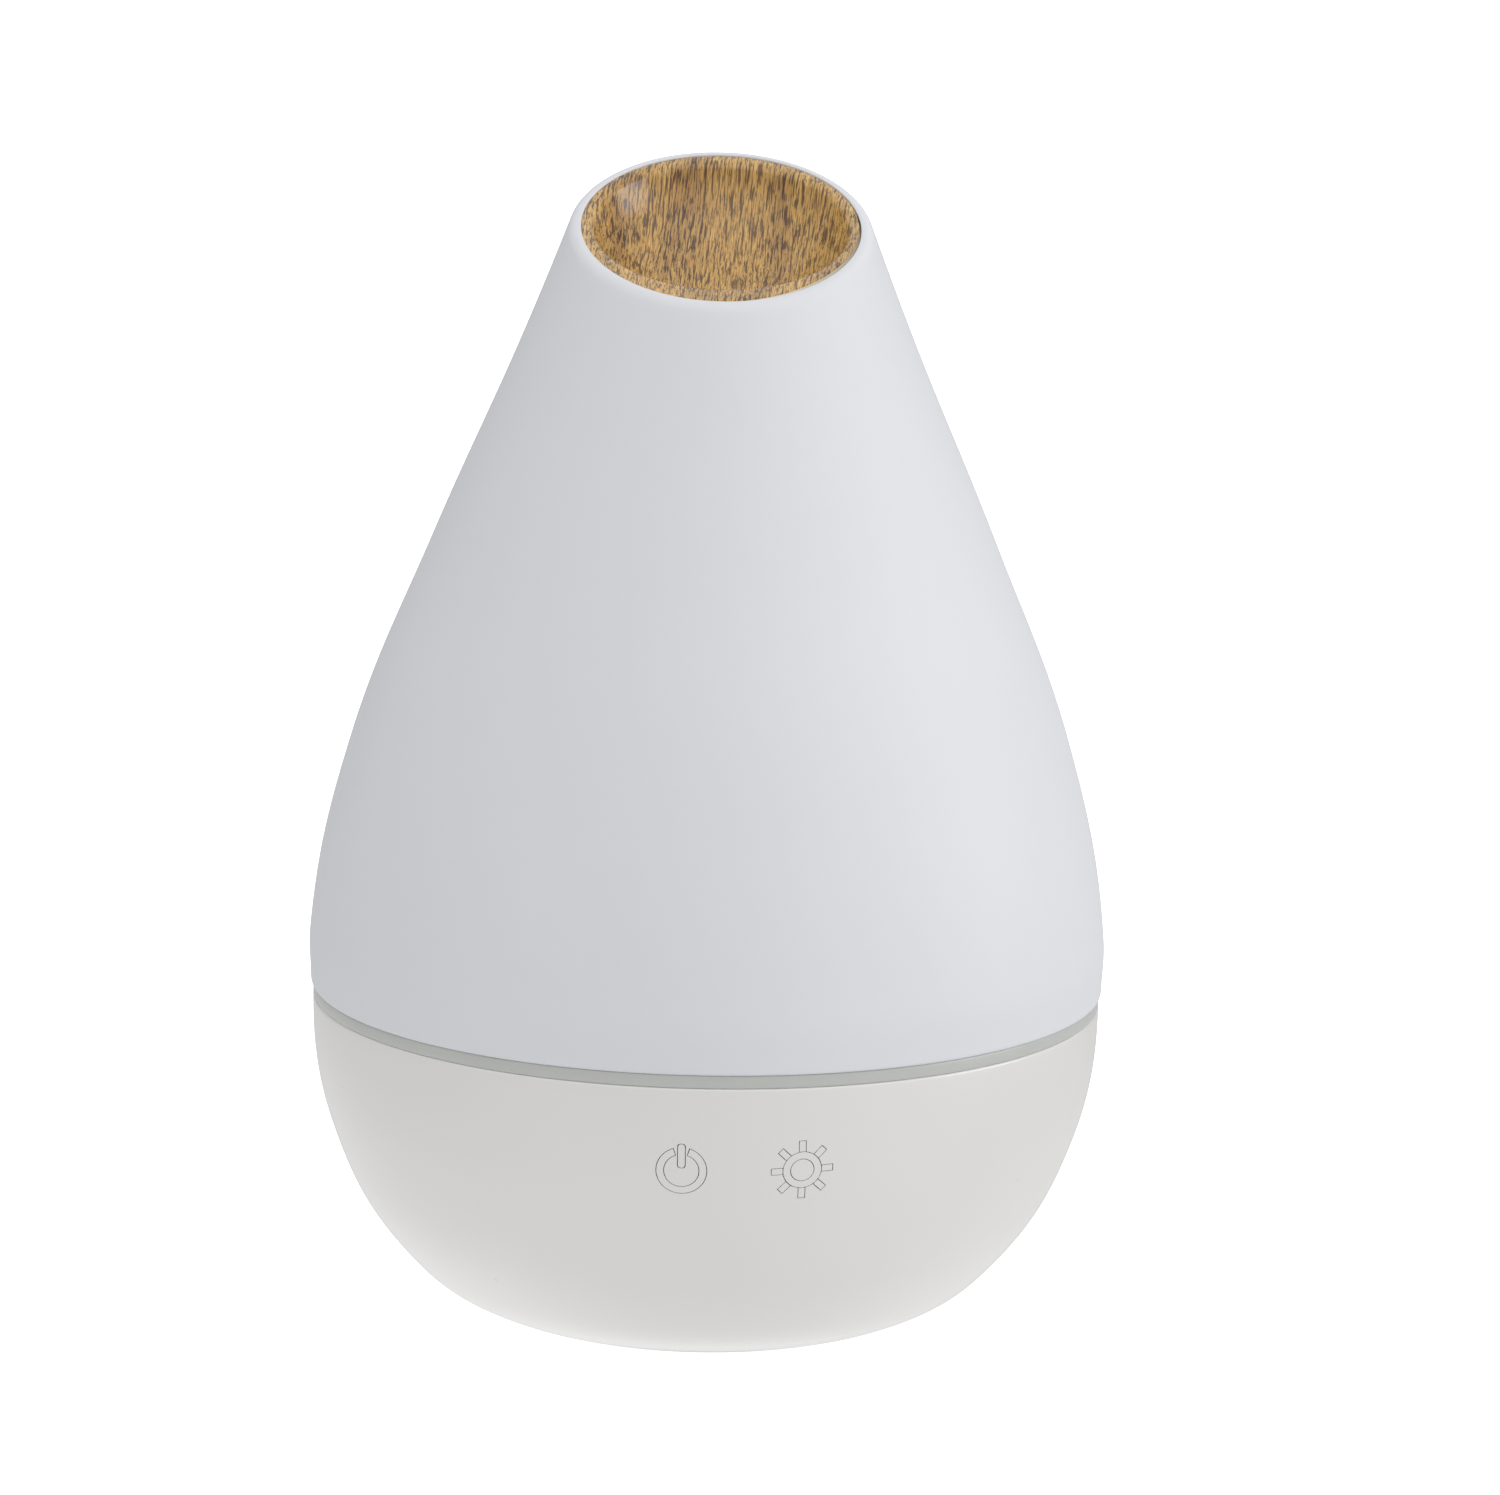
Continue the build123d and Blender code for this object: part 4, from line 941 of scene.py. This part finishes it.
def duct_tube():
    """Tube on the dish's neck, flared at its lower end, with round ends."""
    high = outlet_low - 2.0 * MM
    low = high - duct_length
    bell = [(0, high), (0, low + 7.5 * MM), (0.35 * MM, low + 5.2 * MM), (duct_flare, low)]
    section = [(duct_bore + duct_wall + out, height) for out, height in bell]
    section += [(duct_bore + out, height) for out, height in reversed(bell)]
    for index in (7, 4, 3, 0):
        section = fillet_corner(section, index, 0.4 * MM, 4)
    bm = turn_section(section, count=96)
    bmesh.ops.translate(bm, verts=bm.verts[:], vec=(0, outlet.y, 0))
    bmesh.ops.rotate(bm, verts=bm.verts[:], cent=(0, 0, 0), matrix=turn_with_cover.to_3x3())
    return bm


duct = make_piece("duct_tube", duct_tube(), "cover", ["mist_duct"])


# %% Rubber feet
foot_size = 4.5 * MM


def foot_pads():
    """Four soft round feet with a shallow dimple in their undersides."""
    feet = bmesh.new()
    high = bowl_low + 0.6 * MM
    for x, y in post_places:
        section = [(0, 0.25 * MM), (2.2 * MM, 0.15 * MM), (2.8 * MM, 0)]
        section += [(foot_size, 0), (foot_size, high), (0, high)]
        section = fillet_corner(section, 3, 0.45 * MM, 5)
        foot = turn_section(section, closed=False, count=48)
        bmesh.ops.translate(foot, verts=foot.verts[:], vec=(x, y, 0))
        feet = added(feet, foot)
    return feet


feet = make_piece("foot_pads", foot_pads(), "base", ["rubber_feet"])


# %% Finish of the tank
def milky_finish():
    finish = Finish("milky_resin", IOR=1.5)
    finish.shader.inputs["Subsurface Weight"].default_value = 0.2
    finish.shader.inputs["Subsurface Scale"].default_value = 1.5 * MM
    place = finish.place()
    cloud = finish.noise(place, 0.12, 3.0)
    finish.set(Base_Color=finish.mix(cloud, (0.56, 0.575, 0.55), (0.62, 0.63, 0.61)))
    finish.set(Roughness=0.28 + 0.1 * cloud)
    finish.bump(cloud, 0.02 * MM, 0.2)
    return finish


dress(milky_finish(), tank, tower)

# %% [markdown]
# ## The parts inside
# The parts under the tank keep their shapes from the frame. Moulded and cast ones share a finish
# with a slow drift of colour and a fine grain, whose size, relief and gloss change from part to
# part. A few have a pattern of their own: wound wire, a circuit board, rolled steel, the disc.


# %% Moulded and cast finishes
def moulded(name, low, high, rough, grain=2.5, relief=0.01, stretch=(1, 1, 1), **constants):
    """Colour that drifts between two tones, with a grain that varies roughness and relief."""
    finish = Finish(name, **constants)
    place = finish.place(stretch)
    drift = finish.noise(place, 0.09, 2.0)
    fine = finish.noise(place, grain, 3.0, 0.6)
    finish.set(Base_Color=finish.mix(drift * 0.7 + fine * 0.3, low, high))
    finish.set(Roughness=rough + 0.14 * fine)
    finish.bump(fine, relief * MM, 0.4)
    return finish


satin_white = moulded("satin_white", (0.78, 0.78, 0.76), (0.86, 0.86, 0.85), 0.38)
dress(satin_white, cap, duct, "transducer_clamp", "bottom_plate", "fan_hood")
silicone = moulded("soft_silicone", (0.72, 0.72, 0.69), (0.82, 0.82, 0.79), 0.55)
dress(silicone, "tank_gasket", "transducer_seal")
dress(moulded("foot_rubber_grey", (0.44, 0.44, 0.43), (0.55, 0.55, 0.54), 0.62, 4.0, 0.03), feet)
dress(
    moulded("black_moulding", (0.022, 0.022, 0.024), (0.045, 0.045, 0.05), 0.42, 3.0, 0.02),
    "fan_frame", "fan_rotor", "power_transistor", "control_chip", "dc_jack",
)
ferrite = moulded("sintered_ferrite", (0.05, 0.05, 0.055), (0.10, 0.10, 0.11), 0.55, 5.0, 0.03)
dress(ferrite, "fan_magnet", "coil_core")
bronze = moulded("sintered_bronze", (0.42, 0.27, 0.13), (0.58, 0.40, 0.20), 0.4, 6.0, 0.02, Metallic=1.0)
dress(bronze, "fan_bush")
dress(moulded("cream_nylon", (0.74, 0.70, 0.60), (0.84, 0.80, 0.70), 0.45), "lead_sockets", "ribbon_socket")
black_pvc = moulded("black_pvc", (0.02, 0.02, 0.02), (0.05, 0.05, 0.05), 0.38, 1.6, 0.03)
dress(black_pvc, "fan_cable", "light_cable")
red_pvc = moulded("red_pvc", (0.38, 0.02, 0.015), (0.55, 0.04, 0.03), 0.38, 1.6, 0.03)
dress(red_pvc, "jack_cable", "transducer_cable")
dress(moulded("lamp_resin", (0.86, 0.80, 0.42), (0.93, 0.90, 0.62), 0.2, 1.2, 0.01), "light_leds")
print("moulded finishes:", len([m for m in bpy.data.materials if m.use_nodes]))


# %% Rolled and turned metal
def rolled(name, low, high, rough, stretch):
    """Metal with long fine marks along one direction."""
    finish = Finish(name, Metallic=1.0)
    place = finish.place(stretch)
    marks = finish.noise(place, 1.0, 4.0, 0.65)
    smudge = finish.noise(finish.place(), 0.25, 2.0)
    finish.set(Base_Color=finish.mix(marks, low, high))
    finish.set(Roughness=rough + 0.15 * marks + 0.1 * smudge)
    finish.bump(marks, 0.004 * MM, 0.5)
    return finish


dress(
    rolled("zinc_plate", (0.50, 0.50, 0.51), (0.68, 0.68, 0.68), 0.26, (0.8, 0.8, 6.0)),
    "clamp_screws", "bottom_screws", "fan_screws", "board_screws", "fan_shaft", "jack_contact", "jack_tabs",
)
aluminium = rolled("satin_aluminium", (0.62, 0.63, 0.65), (0.78, 0.79, 0.80), 0.3, (0.5, 8.0, 0.5))
dress(aluminium, "heat_sink", "capacitors")


# %% Wound copper
def wound(name):
    """Turns of enamelled wire lying on each other, with painted shade in the grooves between them."""
    finish = Finish(name, Metallic=0.8, Coat_Weight=0.4)
    settings = {"wave_type": "BANDS", "bands_direction": "Z", "wave_profile": "SIN"}
    sockets = {"Vector": finish.place(), "Scale": 1.1, "Distortion": 0.3}
    turns_and_groove_shade = finish.node("ShaderNodeTexWave", settings, sockets, out=1)
    # Colour runs from dark brown in the grooves to bright copper on each turn: painted shade between the turns.
    # The bump is real relief.
    finish.set(Base_Color=finish.mix(turns_and_groove_shade, (0.25, 0.09, 0.03), (0.72, 0.34, 0.14)), Roughness=0.3 + 0.2 * turns_and_groove_shade)
    finish.bump(turns_and_groove_shade, 0.06 * MM, 0.8)
    return finish


dress(wound("enamelled_wire"), "coil_winding", "fan_stator")


# %% Circuit boards and foil
def printed(name, ground, track, pitch, sheen):
    """Solder mask over a mesh of tracks."""
    finish = Finish(name)
    finish.shader.inputs["Coat Roughness"].default_value = 0.15
    place = finish.place((1, 1, 0))
    sockets = {
        "Vector": place, "Scale": 1.0, "Mortar Size": 0.12, "Brick Width": 2.4 * pitch, "Row Height": pitch,
        "Color1": (0, 0, 0, 1), "Color2": (0, 0, 0, 1), "Mortar": (1, 1, 1, 1),
    }
    tracks = finish.node("ShaderNodeTexBrick", {}, sockets, out=1)
    where = finish.noise(place, 0.14, 1.0).above(0.42, 0.05)
    weave = finish.noise(place, 3.0, 2.0)
    shown = tracks * where
    mask = finish.mix(weave, ground, tuple(0.75 * c for c in ground))
    finish.set(Base_Color=finish.mix(shown * 0.8, mask, track))
    finish.set(Roughness=0.3 + 0.2 * weave, Coat_Weight=sheen + 0.1 * weave)
    finish.bump(shown, 0.03 * MM, 0.6)
    return finish


dress(printed("green_board", (0.02, 0.17, 0.07), (0.05, 0.33, 0.14), 1.3, 0.4), "main_board")
dress(printed("white_board_mask", (0.80, 0.80, 0.78), (0.66, 0.67, 0.66), 1.6, 0.3), "light_board")
dress(printed("amber_foil", (0.50, 0.24, 0.05), (0.72, 0.42, 0.20), 0.9, 0.5), "touch_foil", "touch_tail")


# %% Silvered disc
def silvered():
    """Fired silver on ceramic, with fine rings and a little tarnish."""
    finish = Finish("fired_silver", Metallic=0.7)
    place = finish.laid((0, disc_y, 0), (0, 0, 0))
    settings = {"wave_type": "RINGS", "rings_direction": "Z"}
    rings = finish.node("ShaderNodeTexWave", settings, {"Vector": place, "Scale": 0.6, "Distortion": 0.2}, out=1)
    tarnish = finish.noise(place, 0.5, 3.0).above(0.45, 0.3)
    finish.set(Base_Color=finish.mix(tarnish, (0.80, 0.79, 0.75), (0.55, 0.50, 0.42)))
    finish.set(Roughness=0.35 + 0.1 * rings + 0.15 * tarnish)
    finish.bump(rings, 0.01 * MM, 0.4)
    return finish


dress(silvered(), "transducer_disc")

# %% [markdown]
# ## Floor, light and camera
# The diffuser stands on a glowing white floor. Right under the bowl the glow is cut to black in a
# disc, a painted shadow, in which the bowl's real shade on the floor also shows. The room's light
# comes softly from every side, with a window to the right that shows in the dish. A long lens from
# about a metre away keeps the outline nearly free of perspective.

# %% Floor
# Radius in millimetres of the painted shadow under the bowl: inside it the floor does not glow.
painted_shadow_radius = 31.8
floor_bm = bmesh.new()
bmesh.ops.create_grid(floor_bm, x_segments=2, y_segments=2, size=30.0)
floor_mesh = bpy.data.meshes.new("floor")
floor_bm.to_mesh(floor_mesh)
floor_bm.free()
floor = bpy.data.objects.new("floor", floor_mesh)
bpy.context.scene.collection.objects.link(floor)
floor_finish = Finish("pale_floor_painted_shadow", Roughness=0.9)
floor_finish.shader.inputs["Base Color"].default_value = (0.92, 0.92, 0.92, 1.0)
floor_finish.shader.inputs["Specular IOR Level"].default_value = 0.0
floor_finish.shader.inputs["Emission Strength"].default_value = 1.0
away = floor_finish.node("ShaderNodeVectorMath", {"operation": "LENGTH"}, {0: floor_finish.place()}, out=1)
# Emission is black within that radius and white beyond it: a painted contact shadow under the bowl.
floor_finish.set(Emission_Color=floor_finish.mix(away.above(painted_shadow_radius, 1.0), (0, 0, 0), (1, 1, 1)))
dress(floor_finish, floor)
for ray in ("diffuse", "glossy", "transmission", "shadow"):
    setattr(floor, "visible_" + ray, False)


# %% Light of the room
class Studio(Finish):
    """The world's light by direction, built with the same steps as a finish."""

    def __init__(self, name):
        self.world = bpy.data.worlds.new(name)
        self.world.use_nodes = True
        self.tree = self.world.node_tree
        self.shader = self.tree.nodes["Background"]
        self.shader.inputs["Color"].default_value = (1, 1, 1, 1)


def positive(field):
    return field.maths("MAXIMUM", field, 0.0)


def light_room():
    """Soft light: bright overhead and in front, bounced up from below and from behind."""
    studio = Studio("studio")
    way = studio.node("ShaderNodeTexCoord", {}, {}, out=0)
    x, y, up = (studio.node("ShaderNodeSeparateXYZ", {}, {0: way}, out=i) for i in range(3))
    right, left, behind, front, down = positive(x), positive(0 - x), positive(y), positive(0 - y), 0 - up
    light = 0.3 + 0.5 * up.above(0.1, 0.6) + 0.6 * down.above(0.25, 0.55)
    light += 0.68 * front * up.above(0.0, 0.5)
    light += (0.1 * left - 0.2 * right + 0.45 * behind + 0.2 * front) * down.above(0.0, 0.3)
    studio.set(Strength=light.maths("MAXIMUM", light, 0.08))
    bpy.context.scene.world = studio.world
    bpy.context.scene.view_settings.view_transform = "Standard"


def panel(name, way, distance, size, power):
    """A square area light that looks at the middle of the object."""
    light = bpy.data.lights.new(name, "AREA")
    light.shape = "SQUARE"
    light.size = size
    light.energy = power
    holder = bpy.data.objects.new(name, light)
    bpy.context.scene.collection.objects.link(holder)
    way = Vector(way).normalized()
    holder.location = Vector((0, 0, 0.085)) + way * distance
    holder.rotation_euler = way.to_track_quat("Z", "Y").to_euler()


light_room()
panel("right_window", (0.966, -0.187, 0.182), 1.0, 0.55, 3.0)

# %% Camera
view_distance = 1.0
view_turn = math.radians(-5.6)
view_rise = math.radians(11.31)
view_roll = math.radians(1.18)
target = Vector((0, 0, 86.0 * MM))
back = Vector((
    math.sin(view_turn) * math.cos(view_rise), -math.cos(view_turn) * math.cos(view_rise), math.sin(view_rise)
))
camera_data = bpy.data.cameras.new("camera")
camera_data.sensor_width = 36.0
camera_data.lens = 159.5
camera = bpy.data.objects.new("camera", camera_data)
bpy.context.scene.collection.objects.link(camera)
turn = back.to_track_quat("Z", "Y").to_matrix() @ Matrix.Rotation(view_roll, 3, "Z")
aim = target + turn @ Vector((5.88 * MM, -0.93 * MM, 0))
place = target + back * view_distance
turn = (place - aim).to_track_quat("Z", "Y").to_matrix() @ Matrix.Rotation(view_roll, 3, "Z")
camera.matrix_world = Matrix.Translation(place) @ turn.to_4x4()
bpy.context.scene.camera = camera
print("camera at", [round(v, 3) for v in place])

# %% Update the scene
bpy.context.view_layer.update()
